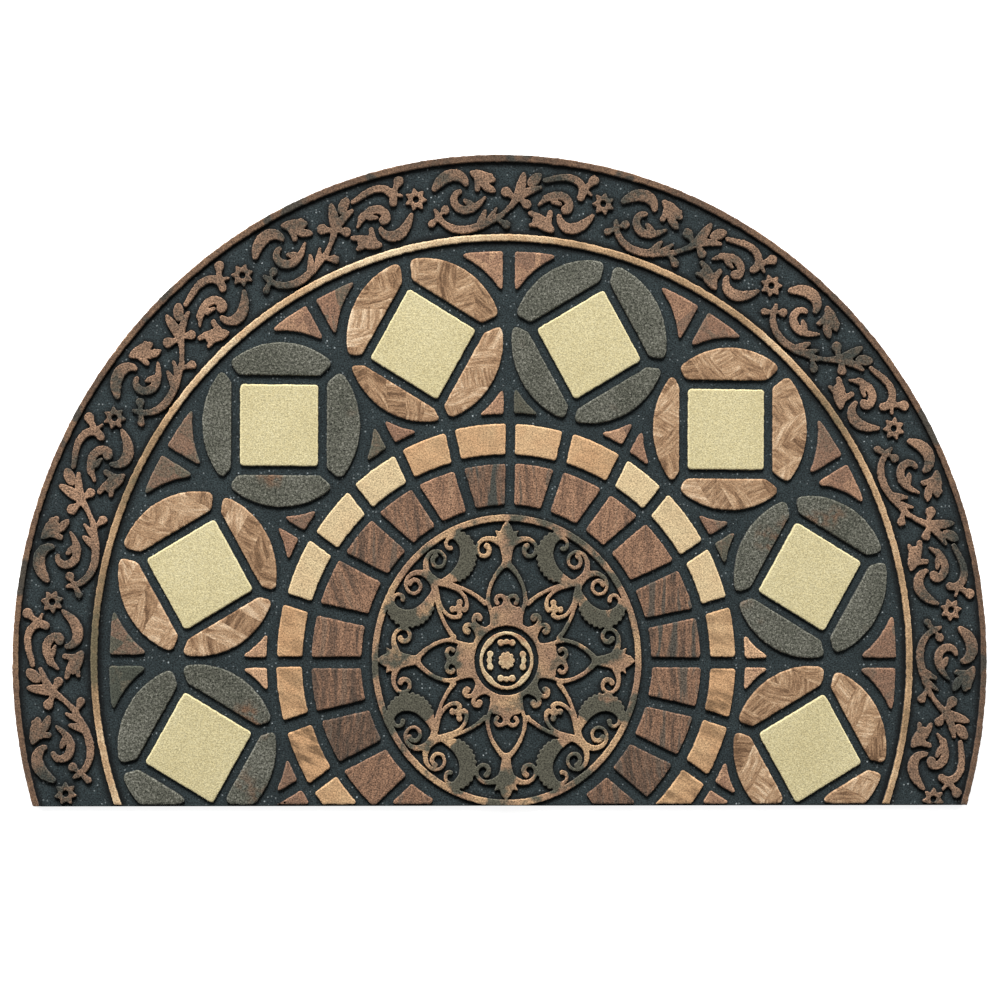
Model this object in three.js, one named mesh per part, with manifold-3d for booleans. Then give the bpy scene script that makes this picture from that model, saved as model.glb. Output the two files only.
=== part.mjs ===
// A half-round doormat, moulded in one piece of rubber, lying flat. Millimetres, +Z up.
// The underside and the straight front edge are plain. The upper face carries a raised mosaic:
// square tiles in rounds of four petals, spandrels between them, two rings of bricks, a scrolled
// medallion, and a border of scrolls and stars between two raised rings.
// The origin is under the middle of the mat, X runs along the straight edge, +Y to the crown.
// The mosaic's rings are ovals about one centre: each is a little taller than it is wide.

import * as THREE from "three";
import * as BufferGeometryUtils from "three/addons/utils/BufferGeometryUtils.js";
import Module from "manifold-3d";

// Driving dimensions of the whole mat.
const MAT_WIDTH = 914;
const MAT_DEPTH = 610;
const WEB_THICKNESS = 4.2;
const RELIEF_HEIGHT = 2.8;
const DESIGN_CENTRE_Y = -169.6;

// How deep a raised form is sunk into the web before the two are joined, and how far a cut runs on
// past the body.
const ROOT_DEPTH = 1.5;
const CUT_OVERRUN = 5;

// Tiles stop this far short of the straight edge, the stars and the medallion come closer, and
// smaller slivers than this, in square millimetres, are left off.
const EDGE_MARGIN = 1.6;
const CLOSE_MARGIN = 0.5;
const SMALLEST_TILE_AREA = 60;

// Flat facets of a quarter of a ring, of the medallion's ring, of a petal's rim, of a spandrel's
// hollow side, of the hub's circles and of the smallest rounds.
const QUARTER_STEPS = 17;
const MEDALLION_STEPS = 60;
const PETAL_STEPS = 6;
const HOLLOW_STEPS = 3;
const HUB_SIDES = 24;
const SMALL_ROUND_SIDES = 10;

// The rings of the design: half their width across X, and half their height up Y.
const RINGS = [
  { name: "centre", across: 0.001, up: 0.00108 },
  { name: "medallionInner", across: 120.5, up: 129.6 },
  { name: "medallionOuter", across: 126.6, up: 136.2 },
  { name: "brownInner", across: 135.7, up: 146 },
  { name: "brownOuter", across: 182.6, up: 185.2 },
  { name: "tanInner", across: 190.5, up: 192.9 },
  { name: "tanOuter", across: 214.9, up: 222.4 },
  { name: "roundsInner", across: 225, up: 234.5 },
  { name: "roundsOuter", across: 368.9, up: 385.4 },
  { name: "innerRingInner", across: 379.4, up: 394.6 },
  { name: "innerRingOuter", across: 386.4, up: 401.8 },
  { name: "rimInner", across: 450.8, up: 468.1 },
  { name: "edge", across: MAT_WIDTH / 2, up: MAT_DEPTH / 2 - DESIGN_CENTRE_Y },
];

// Rounds of four petals about a square tile.
const ROUND_PITCH = 30;
const ROUND_FIRST = 15;
const ROUND_CENTRE_ACROSS = 296.3;
const ROUND_RADIUS = 73.4;
const ROUND_RIM_OUT = 1.4;
const ROUND_STRETCH = 1.05;
const SQUARE_HALF = 36.9;
const SQUARE_CORNER = 2.2;
const PETAL_CHORD = 43.4;
const PETAL_CHANNEL = 4.2;

// Spandrels: pairs of three-sided tiles between the rounds, outside and inside.
const SPANDREL_ARC = 84;
const SMALL_SPANDREL_ARC = 81.5;
const SPANDREL_CHANNEL = 4.6;
const SMALL_SPANDREL_CORNER = 4;
const SMALL_SPANDREL_INNER = 221.5;

// Bricks: the joints are laid by hand, so their pitch wanders round 15 degrees.
const BRICK_JOINTS = [
  -60, -45.6, -30.4, -15.3, -0.7, 14.2, 29.3, 46, 59.1, 74.4, 89, 104.5, 118.6, 133.3, 148.4, 165,
  180.3, 196, 212, 228.6, 243,
];
const BRICK_GAP = 9.2;

// A stroke of the scrollwork: where it starts, the heading it sets off in (degrees), how long it
// is, how far it turns on its way and how unevenly (0 is an even arc, 1 tightens towards the end,
// -1 towards the start), and its width at the start, the middle and the end.
const STROKE_COLUMNS = [
  "name", "x", "y", "heading", "length", "turn", "tighten", "start", "middle", "end",
];
// Steps along a stroke, and how far the points that round its tips lean to either side, in degrees.
const STROKE_STATIONS = 16;
const TIP_LEANS = [60, 20, -20, -60];

// Bends of an outline that cut off less than this area are left out, in square millimetres.
const BORDER_BEND = 12;
const MEDALLION_BEND = 12;

// Border: one repeat runs clockwise from a star to the next. x is along the border's middle, y out
// from it. The last column gives the middle of the half turn that makes a stroke's second copy.
const BORDER_MIDDLE = 420;
const BORDER_PITCH = 23.68;
const BORDER_FIRST_STAR = 196.1;
const BORDER_REPEATS = 9;
const BORDER_STROKES = [
  ["outer comma", 16.7, 12.2, 52, 37.4, -137, 0.8, 5, 10, 4.5],
  ["inner comma", 134.2, -13.6, -86, 43.1, 144, -0.9, 5, 10.5, 4],
  ["long stem", 15.3, -9.9, -79, 72.7, 101, -1.25, 5, 7.5, 5],
  ["stem end lobe", 17.5, -13.6, -149, 10.6, 0, 0, 4, 5, 7],
  ["stem end curl", 17, -13, 35, 8.3, 0, 0, 4, 4, 8.5],
  ["first leaflet", 56.8, -24.3, 67, 13.1, 0, 0, 9, 7, 3.5],
  ["second leaflet", 66.8, -19.5, 57, 11, 0, 0, 7, 5, 3],
  ["stem bud", 71.2, -19.1, -27, 12.6, 0, 0, 4, 4.5, 8.5],
  ["branch", 72.5, -19.1, 29, 29.5, 29, 0, 5, 5, 8],
  ["upright petal", 93.3, 0.3, 74, 22, 7, 0, 7, 9, 4],
  ["loose petal", 103.7, 12.2, 48, 13.6, 0, 0, 4, 10, 3],
  ["low petal", 94.5, 1.2, 32, 21.3, -13, 0, 8, 7, 4],
  ["left bud", 91.7, -1, 148, 11, 0, 0, 6, 5.5, 10],
  ["right bud", 93, 0.3, -34, 11, 0, 0, 6, 5.5, 9],
  ["outer arm", 117.5, 17.5, 12, 47, -135, 1.5, 5, 7, 7.5],
  ["arm lobe", 154.9, 15.4, 59, 10.8, 0, 0, 6, 6.5, 8],
];
const BORDER_PAIRS = [
  ["leaf blade", 51.7, 23.4, -29, 20.2, 14, 0, 4, 11, 5],
  ["leaf foot", 57.6, 19, -99, 11.4, 0, 0, 9, 6.5, 5.5],
  ["leaf side", 60.3, 9.9, -23, 12.4, 0, 0, 5, 7.5, 2],
  ["curl", 38.5, 7.3, -173, 49.3, 219, -0.95, 4, 8.5, 3],
];
const LEAF_HALF_TURN = [90.5, -2];
const CURL_HALF_TURN = [88, -2.7];
const STAR = { out: 5.2, points: 7, tip: 10, notch: 6.2, hole: 3 };

// Medallion: strokes about an arm that points up, on its right, mirrored to its left. Four arms
// lie on the axes and four between them.
const AXIS_STROKES = [
  ["finial volute", 7, 105.2, 16, 47.7, -352, 1, 5.5, 3.6, 5.5],
  ["arch strand", 1.9, 82.6, -44, 37.5, -45, 0.3, 5, 3.8, 4.5],
  ["hub bud", 1.4, 42, 76, 13.6, -20, 0, 9, 6.4, 8],
  ["hub tie", 19.1, 50.2, -107, 20.5, -8, 0, 5, 4.5, 9],
];
const DIAGONAL_STROKES = [
  ["big volute", 0.4, 101.3, 93, 58.2, 382, 0.7, 7, 4, 5.5],
  ["ogee strand", -0.3, 98.4, -123, 54.1, 32, 1, 5.5, 3.6, 4.5],
  ["inner strand", -1.3, 98.1, -85, 58.1, 153, 2.55, 4, 3, 3.6],
  ["hub volute", -3.1, 32.6, 105, 27.2, 213, 1.95, 7, 4, 5.5],
  ["acanthus", -8.3, 90.5, -144, 51.9, -144, 0.4, 3, 14, 4],
  ["acanthus curl", -45, 106.4, 43, 27.4, -261, 1.25, 4, 3.2, 4],
];
// The finial at each arm's end, from its neck to its tip: distance out, half its width.
const FINIAL = [
  [78, 2], [83, 4], [90, 4.4], [98, 5.6], [104, 7.5], [111, 11.5], [111.5, 6.5], [118.4, 0.6],
];
const BUD = { out: 66, reach: 5.6 };
// The hub's collar, its kite-shaped points, and the boss inside it.
const HUB = { hole: 30.6, outer: 35.5 };
const HUB_POINT = [[31.5, 12], [36, 10.5], [46, 0.6]];
const HUB_SPUR = [[31.5, 8], [36, 5.5], [42, 1.5]];
const BOSS = { ringInner: 24.6, ringOuter: 28.4, flower: 7.4 };
const BOSS_BAR = [[15, 6], [18, 6], [19.6, 1]];

const wasm = await Module();
wasm.setup();

const rad = THREE.MathUtils.degToRad;
const ring = Object.fromEntries(RINGS.map((row) => [row.name, row.across]));
const bottomEdgeY = -MAT_DEPTH / 2;

// Half the height of the oval that is this wide across, read between the rings of the table.
function upOf(across) {
  const next = Math.max(1, RINGS.findIndex((row) => row.across >= across));
  const last = across > RINGS[RINGS.length - 1].across ? RINGS.length - 1 : next;
  const low = RINGS[last - 1];
  const high = RINGS[last];
  return low.up + ((across - low.across) / (high.across - low.across)) * (high.up - low.up);
}

// The point of an oval at an angle from +X, anticlockwise.
function onRing(across, degrees) {
  const x = across * Math.cos(rad(degrees));
  const y = DESIGN_CENTRE_Y + upOf(across) * Math.sin(rad(degrees));
  return new THREE.Vector2(x, y);
}

function ringArc(across, from, to, steps) {
  return Array.from({ length: steps + 1 }, (_, i) => onRing(across, from + ((to - from) * i) / steps));
}

// A ring from one end of the straight edge round to the other, with a point on each axis.
function longArc(across, margin) {
  const from = edgeAngle(across, margin);
  return [
    ...ringArc(across, from, 0, 2),
    ...ringArc(across, 0, 90, QUARTER_STEPS).slice(1),
    ...ringArc(across, 90, 180, QUARTER_STEPS).slice(1),
    ...ringArc(across, 180, 180 - from, 2).slice(1),
  ];
}

// Cuts a closed loop of sides along the straight edge's margin. A cut side keeps its place in the
// loop, and the straight side that closes the cut is added as one more.
function clipToMat(sides) {
  const lowest = bottomEdgeY + EDGE_MARGIN;
  const kept = [];
  for (const side of sides) {
    let run = [];
    for (let i = 0; i < side.length; i += 1) {
      const point = side[i];
      const before = side[i - 1];
      const inside = point.y >= lowest;
      if (before && inside !== before.y >= lowest) {
        const share = (lowest - before.y) / (point.y - before.y);
        run.push(before.clone().lerp(point, share));
        if (!inside) {
          kept.push(run);
          run = [];
        }
      }
      if (inside) run.push(point);
    }
    if (run.length > 1) kept.push(run);
  }
  const closed = [];
  kept.forEach((side, i) => {
    const start = kept[(i + 1) % kept.length][0];
    const end = side[side.length - 1];
    closed.push(side);
    if (end.distanceTo(start) > 0.01) closed.push(Object.assign([end, start], { cut: true }));
  });
  return closed;
}

function lengthOf(side) {
  return side.slice(1).reduce((sum, point, i) => sum + point.distanceTo(side[i]), 0);
}

// The side without its first and last stretch.
function trimmed(side, first, last) {
  const trimStart = (points, cut) => {
    let left = cut;
    for (let i = 1; i < points.length; i += 1) {
      const step = points[i].distanceTo(points[i - 1]);
      if (left < step) return [points[i - 1].clone().lerp(points[i], left / step), ...points.slice(i)];
      left -= step;
    }
    return points.slice(-1);
  };
  return trimStart(trimStart(side, first).reverse(), last).reverse();
}

// One outline from sides that meet at corners, each corner cut back by a flat. A side cut at the
// straight edge keeps sharp corners, and a corner of no size stays as it is.
function easedOutline(sides, corner) {
  const cuts = sides.map((side) => (side.cut ? 0 : Math.min(corner, lengthOf(side) * 0.45)));
  const outline = sides.flatMap((side, i) => {
    const before = Math.min(cuts[i], cuts[(i + sides.length - 1) % sides.length]);
    const after = Math.min(cuts[i], cuts[(i + 1) % sides.length]);
    return trimmed(side, before, after);
  });
  return outline.filter((point, i) => point.distanceTo(outline[(i + 1) % outline.length]) > 0.3);
}

function areaOf(outline) {
  return Math.abs(THREE.ShapeUtils.area(outline));
}

// A closed three.js geometry as a solid, and back.
function toSolid(geometry) {
  geometry.deleteAttribute("normal");
  geometry.deleteAttribute("uv");
  const merged = BufferGeometryUtils.mergeVertices(geometry, 1e-4);
  const vertProperties = new Float32Array(merged.attributes.position.array);
  const triVerts = new Uint32Array(merged.index.array);
  return new wasm.Manifold(new wasm.Mesh({ numProp: 3, vertProperties, triVerts }));
}

function toGeometry(solid) {
  const mesh = solid.getMesh();
  const geometry = new THREE.BufferGeometry();
  geometry.setAttribute("position", new THREE.BufferAttribute(mesh.vertProperties, 3));
  geometry.setIndex(new THREE.BufferAttribute(mesh.triVerts, 1));
  geometry.computeVertexNormals();
  return geometry;
}

// Shapes drawn up from one height to another.
function prism(shapes, from, to) {
  const geometry = new THREE.ExtrudeGeometry(shapes, { depth: to - from, bevelEnabled: false });
  geometry.translate(0, 0, from);
  return toSolid(geometry);
}

function shapeOf(outline, holes = []) {
  const shape = new THREE.Shape(anticlockwise(outline));
  shape.holes = holes.map((hole) => new THREE.Path(anticlockwise(hole).reverse()));
  return shape;
}

function anticlockwise(outline) {
  return THREE.ShapeUtils.area(outline) < 0 ? [...outline].reverse() : [...outline];
}

// Overlapping shapes joined into one drawing: each is given a height, the solids are joined, and
// the loops round their common top are read back.
function joinedLoops(overlapping) {
  const joined = overlapping.map((shape) => prism(shape, 0, 1)).reduce((all, solid) => all.add(solid));
  const { vertProperties, triVerts } = joined.getMesh();
  const edges = new Map();
  for (let t = 0; t < triVerts.length; t += 3) {
    const corners = [triVerts[t], triVerts[t + 1], triVerts[t + 2]];
    if (!corners.every((corner) => vertProperties[3 * corner + 2] > 0.999)) continue;
    corners.forEach((corner, i) => {
      const far = corners[(i + 1) % 3];
      if (!edges.delete(`${far} ${corner}`)) edges.set(`${corner} ${far}`, [corner, far]);
    });
  }
  const onward = new Map(edges.values());
  const loops = [];
  while (onward.size > 0) {
    const loop = [];
    let corner = onward.keys().next().value;
    while (onward.has(corner)) {
      loop.push(new THREE.Vector2(vertProperties[3 * corner], vertProperties[3 * corner + 1]));
      const following = onward.get(corner);
      onward.delete(corner);
      corner = following;
    }
    loops.push(loop);
  }
  return loops;
}

// Leaves out the loops' smallest bends, one after another, while the corner that is cut off is
// less than an area and the cut meets no other side.
function easedLoops(loops, leastArea) {
  const eased = loops.map((loop) => [...loop]);
  for (const loop of eased) {
    const blocked = new Set();
    while (loop.length > 4) {
      const bends = loop.map((point, i) => {
        const before = loop[(i + loop.length - 1) % loop.length];
        const after = loop[(i + 1) % loop.length];
        const area = blocked.has(point) ? Infinity : areaOf([before, point, after]);
        return { i, point, before, after, area };
      });
      const least = bends.reduce((best, bend) => (bend.area < best.area ? bend : best));
      if (least.area > leastArea) break;
      if (eased.some((other) => crosses(other, least))) blocked.add(least.point);
      else loop.splice(least.i, 1);
    }
  }
  return eased.filter((loop) => areaOf(loop) > leastArea);
}

// Whether the chord across a bend meets any side of a loop, apart from the bend's own two.
function crosses(loop, { point, before, after }) {
  return loop.some((a, i) => {
    const b = loop[(i + 1) % loop.length];
    if ([a, b].some((end) => end === point || end === before || end === after)) return false;
    const sideParted = isLeft(before, after, a) !== isLeft(before, after, b);
    return sideParted && isLeft(a, b, before) !== isLeft(a, b, after);
  });
}

// Whether c lies left of the way from a to b.
function isLeft(a, b, c) {
  return (b.x - a.x) * (c.y - a.y) > (b.y - a.y) * (c.x - a.x);
}

// The shapes that a set of loops makes: outer loops run anticlockwise, holes clockwise.
function shapesOf(loops) {
  const outer = loops.filter((loop) => THREE.ShapeUtils.area(loop) > 0);
  const holes = loops.filter((loop) => THREE.ShapeUtils.area(loop) < 0);
  const owner = holes.map((hole) => {
    const around = outer.filter((loop) => contains(loop, hole[0]));
    return around.sort((a, b) => areaOf(a) - areaOf(b))[0];
  });
  return outer.map((loop) => shapeOf(loop, holes.filter((_, i) => owner[i] === loop)));
}

function contains(loop, point) {
  let inside = false;
  loop.forEach((a, i) => {
    const b = loop[(i + 1) % loop.length];
    if (a.y > point.y === b.y > point.y) return;
    if (point.x < a.x + ((point.y - a.y) / (b.y - a.y)) * (b.x - a.x)) inside = !inside;
  });
  return inside;
}

// A tile from its sides: cut at the straight edge and eased at its corners.
function tile(sides, corner) {
  const clipped = clipToMat(sides);
  if (clipped.length < 3) return [];
  const outline = easedOutline(clipped, corner);
  return areaOf(outline) < SMALLEST_TILE_AREA ? [] : [shapeOf(outline)];
}

// The angle where a ring meets the straight edge, right of the middle.
function edgeAngle(across, lift = 0) {
  const drop = (bottomEdgeY + lift - DESIGN_CENTRE_Y) / upOf(across);
  return THREE.MathUtils.radToDeg(Math.asin(drop));
}

// A band between two ovals, open at the straight edge and kept back from it by a margin.
function openRing(inner, outer, margin) {
  return shapeOf([...longArc(outer, margin), ...longArc(inner, margin).reverse()]);
}

// The lower field inside the rim, run out past the straight edge so that the rim stays open there.
function fieldInsideRim() {
  const arc = longArc(ring.rimInner, 0);
  const past = bottomEdgeY - CUT_OVERRUN;
  const corners = [arc[arc.length - 1], arc[0]].map((end) => new THREE.Vector2(end.x, past));
  return shapeOf([...arc, ...corners]);
}

// A point of a round, given by its place about the round's own centre.
function inRound(degrees, outward, sideways) {
  const centre = onRing(ROUND_CENTRE_ACROSS, degrees);
  const angle = rad(degrees);
  const x = outward * Math.cos(angle) - sideways * Math.sin(angle);
  const y = outward * Math.sin(angle) + sideways * Math.cos(angle);
  return new THREE.Vector2(centre.x + x, centre.y + ROUND_STRETCH * y);
}

// A round's own circle, from one turn to another about its centre.
function roundArc(degrees, radius, from, to, steps) {
  return Array.from({ length: steps + 1 }, (_, i) => {
    const turn = rad(from + ((to - from) * i) / steps);
    return inRound(degrees, ROUND_RIM_OUT + radius * Math.cos(turn), radius * Math.sin(turn));
  });
}

// The square tile, standing on one corner towards the design's centre.
function squareTile(degrees) {
  const reach = SQUARE_HALF * Math.SQRT2;
  const corners = [0, 90, 180, 270].map((turn) =>
    inRound(degrees, reach * Math.cos(rad(turn)), reach * Math.sin(rad(turn))),
  );
  const sides = corners.map((corner, i) => [corner, corners[(i + 1) % 4]]);
  return tile(sides, SQUARE_CORNER);
}

// A petal: a slice of the round between its rim, a chord along the square, and the channels that
// run out from the square's corners.
function petal(degrees, turn) {
  const chordEnd = PETAL_CHORD - PETAL_CHANNEL * Math.SQRT2;
  const lean = THREE.MathUtils.radToDeg(Math.asin(PETAL_CHANNEL / ROUND_RADIUS));
  const rim = roundArc(degrees, ROUND_RADIUS, turn - 45 + lean, turn + 45 - lean, PETAL_STEPS);
  const place = (out, side) => {
    const c = Math.cos(rad(turn));
    const s = Math.sin(rad(turn));
    return inRound(degrees, out * c - side * s, out * s + side * c);
  };
  const chord = [place(PETAL_CHORD, chordEnd), place(PETAL_CHORD, -chordEnd)];
  const sides = [rim, [rim[rim.length - 1], chord[0]], chord, [chord[1], rim[0]]];
  return tile(sides, 0);
}

// A spandrel beside a radial channel: hand is 1 or -1 for its side of the channel. The rounds'
// circles cut its long side, so it is hollowed.
function spandrel(degrees, hand, outerSide) {
  const round = degrees + (hand * ROUND_PITCH) / 2;
  const across = outerSide ? ring.roundsOuter : SMALL_SPANDREL_INNER;
  const arc = outerSide ? SPANDREL_ARC : SMALL_SPANDREL_ARC;
  const lateral = (ROUND_PITCH / 2) * hand;
  const centreAside = ROUND_CENTRE_ACROSS * Math.sin(rad(Math.abs(lateral)));
  const centreOut = ROUND_CENTRE_ACROSS * Math.cos(rad(lateral));
  const rise = Math.sqrt(arc ** 2 - (centreAside - SPANDREL_CHANNEL) ** 2);
  const tipOut = centreOut + (outerSide ? rise : -rise);
  const onChannel = (out) => {
    const angle = degrees + hand * THREE.MathUtils.radToDeg(Math.atan2(SPANDREL_CHANNEL, out));
    return onRing(Math.hypot(out, SPANDREL_CHANNEL), angle);
  };
  const cosine = ROUND_CENTRE_ACROSS ** 2 + across ** 2 - arc ** 2;
  const spread = THREE.MathUtils.radToDeg(Math.acos(cosine / (2 * ROUND_CENTRE_ACROSS * across)));
  const cornerAngle = round - hand * spread;
  const baseCorner = onRing(across, cornerAngle);
  const channelCorner = onChannel(Math.sqrt(across ** 2 - SPANDREL_CHANNEL ** 2));
  const tip = onChannel(tipOut);
  const hollow = hollowSide(round, arc, baseCorner, tip);
  const sides = [hollow, [tip, channelCorner], [channelCorner, baseCorner]];
  const clockwise = THREE.ShapeUtils.area(sides.flat()) < 0;
  const ordered = clockwise ? sides.map((side) => [...side].reverse()).reverse() : sides;
  return tile(ordered, outerSide ? 0 : SMALL_SPANDREL_CORNER);
}

// The stretch of a round's wider circle between two points on it.
function hollowSide(round, arc, from, to) {
  const centre = onRing(ROUND_CENTRE_ACROSS, round);
  const turnTo = (point) =>
    Math.atan2((point.y - centre.y) / ROUND_STRETCH, point.x - centre.x);
  const start = turnTo(from);
  let sweep = turnTo(to) - start;
  if (sweep > Math.PI) sweep -= 2 * Math.PI;
  if (sweep < -Math.PI) sweep += 2 * Math.PI;
  const points = Array.from({ length: HOLLOW_STEPS + 1 }, (_, i) => {
    const turn = start + (sweep * i) / HOLLOW_STEPS;
    const x = centre.x + arc * Math.cos(turn);
    return new THREE.Vector2(x, centre.y + arc * ROUND_STRETCH * Math.sin(turn));
  });
  return [from, ...points.slice(1, -1), to];
}

// A brick between two joints of a ring of bricks.
function brick(inner, outer, from, to) {
  const half = BRICK_GAP / 2;
  const ease = (across) => THREE.MathUtils.radToDeg(half / across);
  const outside = ringArc(outer, from + ease(outer), to - ease(outer), 2);
  const inside = ringArc(inner, to - ease(inner), from + ease(inner), 1);
  const sides = [outside, [outside[2], inside[0]], inside, [inside[1], outside[0]]];
  return tile(sides, 0);
}

// A stroke's outline: both its edges and a round tip at either end.
function strokeOutline(row) {
  const stroke = Object.fromEntries(STROKE_COLUMNS.map((column, i) => [column, row[i]]));
  const { start, middle, end, turn, tighten } = stroke;
  const headingAt = (s) => rad(stroke.heading + turn * (s + tighten * (s * s - s)));
  const widthAt = (s) =>
    start * (1 - s) * (1 - 2 * s) + middle * 4 * s * (1 - s) + end * s * (2 * s - 1);
  const reachOf = (angle, reach) =>
    new THREE.Vector2(reach * Math.cos(angle), reach * Math.sin(angle));
  const left = [];
  const right = [];
  const place = new THREE.Vector2(stroke.x, stroke.y);
  const tipAt = (s, turned) =>
    TIP_LEANS.map((lean) => {
      const angle = headingAt(s) + turned + rad(lean);
      return place.clone().add(reachOf(angle, widthAt(s) / 2));
    });
  const startTip = tipAt(0, Math.PI);
  for (let i = 0; i <= STROKE_STATIONS; i += 1) {
    const s = i / STROKE_STATIONS;
    const side = reachOf(headingAt(s) + Math.PI / 2, widthAt(s) / 2);
    left.push(place.clone().add(side));
    right.push(place.clone().sub(side));
    if (i < STROKE_STATIONS) {
      place.add(reachOf(headingAt(s + 0.5 / STROKE_STATIONS), stroke.length / STROKE_STATIONS));
    }
  }
  return [...left, ...tipAt(1, 0), ...right.reverse(), ...startTip];
}

// Border: from a place along and out, after this star, to a point of the mat.
function onBorder(point, star) {
  const along = THREE.MathUtils.radToDeg(point.x / BORDER_MIDDLE);
  return onRing(BORDER_MIDDLE + point.y, star - along);
}

function halfTurned(outline, [x, y]) {
  return outline.map((point) => new THREE.Vector2(2 * x - point.x, 2 * y - point.y));
}

// The loops of one repeat, drawn flat.
function borderLoops() {
  const outlines = BORDER_STROKES.map(strokeOutline);
  for (const row of BORDER_PAIRS) {
    const outline = strokeOutline(row);
    const middle = row[0] === "curl" ? CURL_HALF_TURN : LEAF_HALF_TURN;
    outlines.push(outline, halfTurned(outline, middle));
  }
  return easedLoops(joinedLoops(outlines.map((outline) => shapeOf(outline))), BORDER_BEND);
}

function borderRepeat(loops, star) {
  return shapesOf(loops.map((loop) => loop.map((point) => onBorder(point, star))));
}

function borderStar(star) {
  const about = (radius, turn) => {
    const offset = new THREE.Vector2(radius * Math.sin(turn), STAR.out + radius * Math.cos(turn));
    const point = onBorder(offset, star);
    return point.setY(Math.max(point.y, bottomEdgeY + CLOSE_MARGIN));
  };
  const outline = Array.from({ length: 2 * STAR.points }, (_, i) =>
    about(i % 2 ? STAR.notch : STAR.tip, (Math.PI * i) / STAR.points),
  );
  const hole = [0, 1, 2, 3].map((i) => about(STAR.hole, (Math.PI * i) / 2));
  return shapeOf(outline, [hole]);
}

// Medallion: from a place about an arm that points up to a point of the mat.
function onMedallion(point, arm) {
  const turn = rad(arm - 90);
  const x = point.x * Math.cos(turn) - point.y * Math.sin(turn);
  const y = point.x * Math.sin(turn) + point.y * Math.cos(turn);
  const stretch = upOf(ring.medallionInner) / ring.medallionInner;
  return new THREE.Vector2(x, DESIGN_CENTRE_Y + y * stretch);
}

function polygon(radius, count, up = 0) {
  return Array.from({ length: count }, (_, i) => {
    const turn = (2 * Math.PI * i) / count;
    return new THREE.Vector2(radius * Math.cos(turn), up + radius * Math.sin(turn));
  });
}

function mirrored(outline) {
  return outline.map((point) => new THREE.Vector2(-point.x, point.y));
}

// Both halves of a form that is given by half its width at each distance out.
function symmetrical(profile) {
  const right = profile.map(([out, half]) => new THREE.Vector2(half, out));
  return [...right, ...mirrored(right).reverse()];
}

function bothHands(rows) {
  return rows.map(strokeOutline).flatMap((outline) => [outline, mirrored(outline)]);
}

function onArm(outlines, arm) {
  return outlines.map((outline) => outline.map((point) => onMedallion(point, arm)));
}

// The medallion's ring, with all that joins it: eight arms and the hub's pierced collar.
function medallionShapes() {
  const onAxis = [...bothHands(AXIS_STROKES), symmetrical(FINIAL), symmetrical(HUB_POINT)];
  const bud = polygon(BUD.reach, SMALL_ROUND_SIDES, BUD.out);
  const between = [...bothHands(DIAGONAL_STROKES), bud, symmetrical(HUB_SPUR)];
  const arms = [0, 90, 180, 270].flatMap((arm) => [...onArm(onAxis, arm), ...onArm(between, arm + 45)]);
  const outlines = [...onArm([polygon(HUB.outer, HUB_SIDES)], 90), ...arms];
  const outside = ringArc(ring.medallionOuter, 0, 360, MEDALLION_STEPS).slice(1);
  outside.forEach((point) => point.setY(Math.max(point.y, bottomEdgeY + CLOSE_MARGIN)));
  const inside = ringArc(ring.medallionInner, 0, 360, MEDALLION_STEPS).slice(1);
  const drawn = [shapeOf(outside, [inside]), ...outlines.map((outline) => shapeOf(outline))];
  const joined = joinedLoops(drawn);
  const [hubHole] = onArm([polygon(HUB.hole, HUB_SIDES).reverse()], 90);
  return [...shapesOf([...easedLoops(joined, MEDALLION_BEND), hubHole]), ...bossShapes()];
}

// The boss inside the hub: a ring, four short bars and a flower.
function bossShapes() {
  const rounds = [polygon(BOSS.ringOuter, HUB_SIDES), polygon(BOSS.ringInner, HUB_SIDES)];
  const [outer, inner, flower] = onArm([...rounds, polygon(BOSS.flower, SMALL_ROUND_SIDES)], 90);
  const bars = [0, 90, 180, 270].flatMap((arm) => onArm([symmetrical(BOSS_BAR)], arm));
  return [shapeOf(outer, [inner]), shapeOf(flower), ...bars.map((bar) => shapeOf(bar))];
}

function roundShapes(degrees) {
  return [...squareTile(degrees), ...[45, 135, 225, 315].flatMap((turn) => petal(degrees, turn))];
}

function spandrelShapes(degrees) {
  const pair = (hand) => [...spandrel(degrees, hand, true), ...spandrel(degrees, hand, false)];
  return [1, -1].flatMap(pair);
}

function brickShapes(from, to) {
  const { tanInner, tanOuter, brownInner, brownOuter } = ring;
  return [...brick(tanInner, tanOuter, from, to), ...brick(brownInner, brownOuter, from, to)];
}

const innerRing = openRing(ring.innerRingInner, ring.innerRingOuter, EDGE_MARGIN);
const shapes = [innerRing, ...medallionShapes()];
for (let angle = -ROUND_PITCH; angle <= 180 + ROUND_PITCH; angle += ROUND_PITCH) {
  shapes.push(...spandrelShapes(angle), ...roundShapes(angle + ROUND_FIRST));
}
BRICK_JOINTS.slice(1).forEach((to, i) => shapes.push(...brickShapes(BRICK_JOINTS[i], to)));
const scrollLoops = borderLoops();
for (let i = 0; i <= BORDER_REPEATS; i += 1) {
  const star = BORDER_FIRST_STAR - i * BORDER_PITCH;
  shapes.push(borderStar(star));
  if (i < BORDER_REPEATS) shapes.push(...borderRepeat(scrollLoops, star));
}

const reliefTop = WEB_THICKNESS + RELIEF_HEIGHT;
const body = prism(shapeOf(longArc(ring.edge, 0)), 0, reliefTop)
  .subtract(prism(fieldInsideRim(), WEB_THICKNESS, reliefTop + CUT_OVERRUN))
  .add(prism(shapes, WEB_THICKNESS - ROOT_DEPTH, reliefTop));

const rubber = new THREE.MeshStandardMaterial({ color: 0x5b463a, roughness: 0.95, metalness: 0 });
const matMesh = new THREE.Mesh(toGeometry(body), rubber);
matMesh.name = "mat";

const doormat = new THREE.Group();
doormat.add(matMesh);

export default doormat;
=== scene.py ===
import bpy
import numpy as np
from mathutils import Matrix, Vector
from mathutils.geometry import delaunay_2d_cdt


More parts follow.
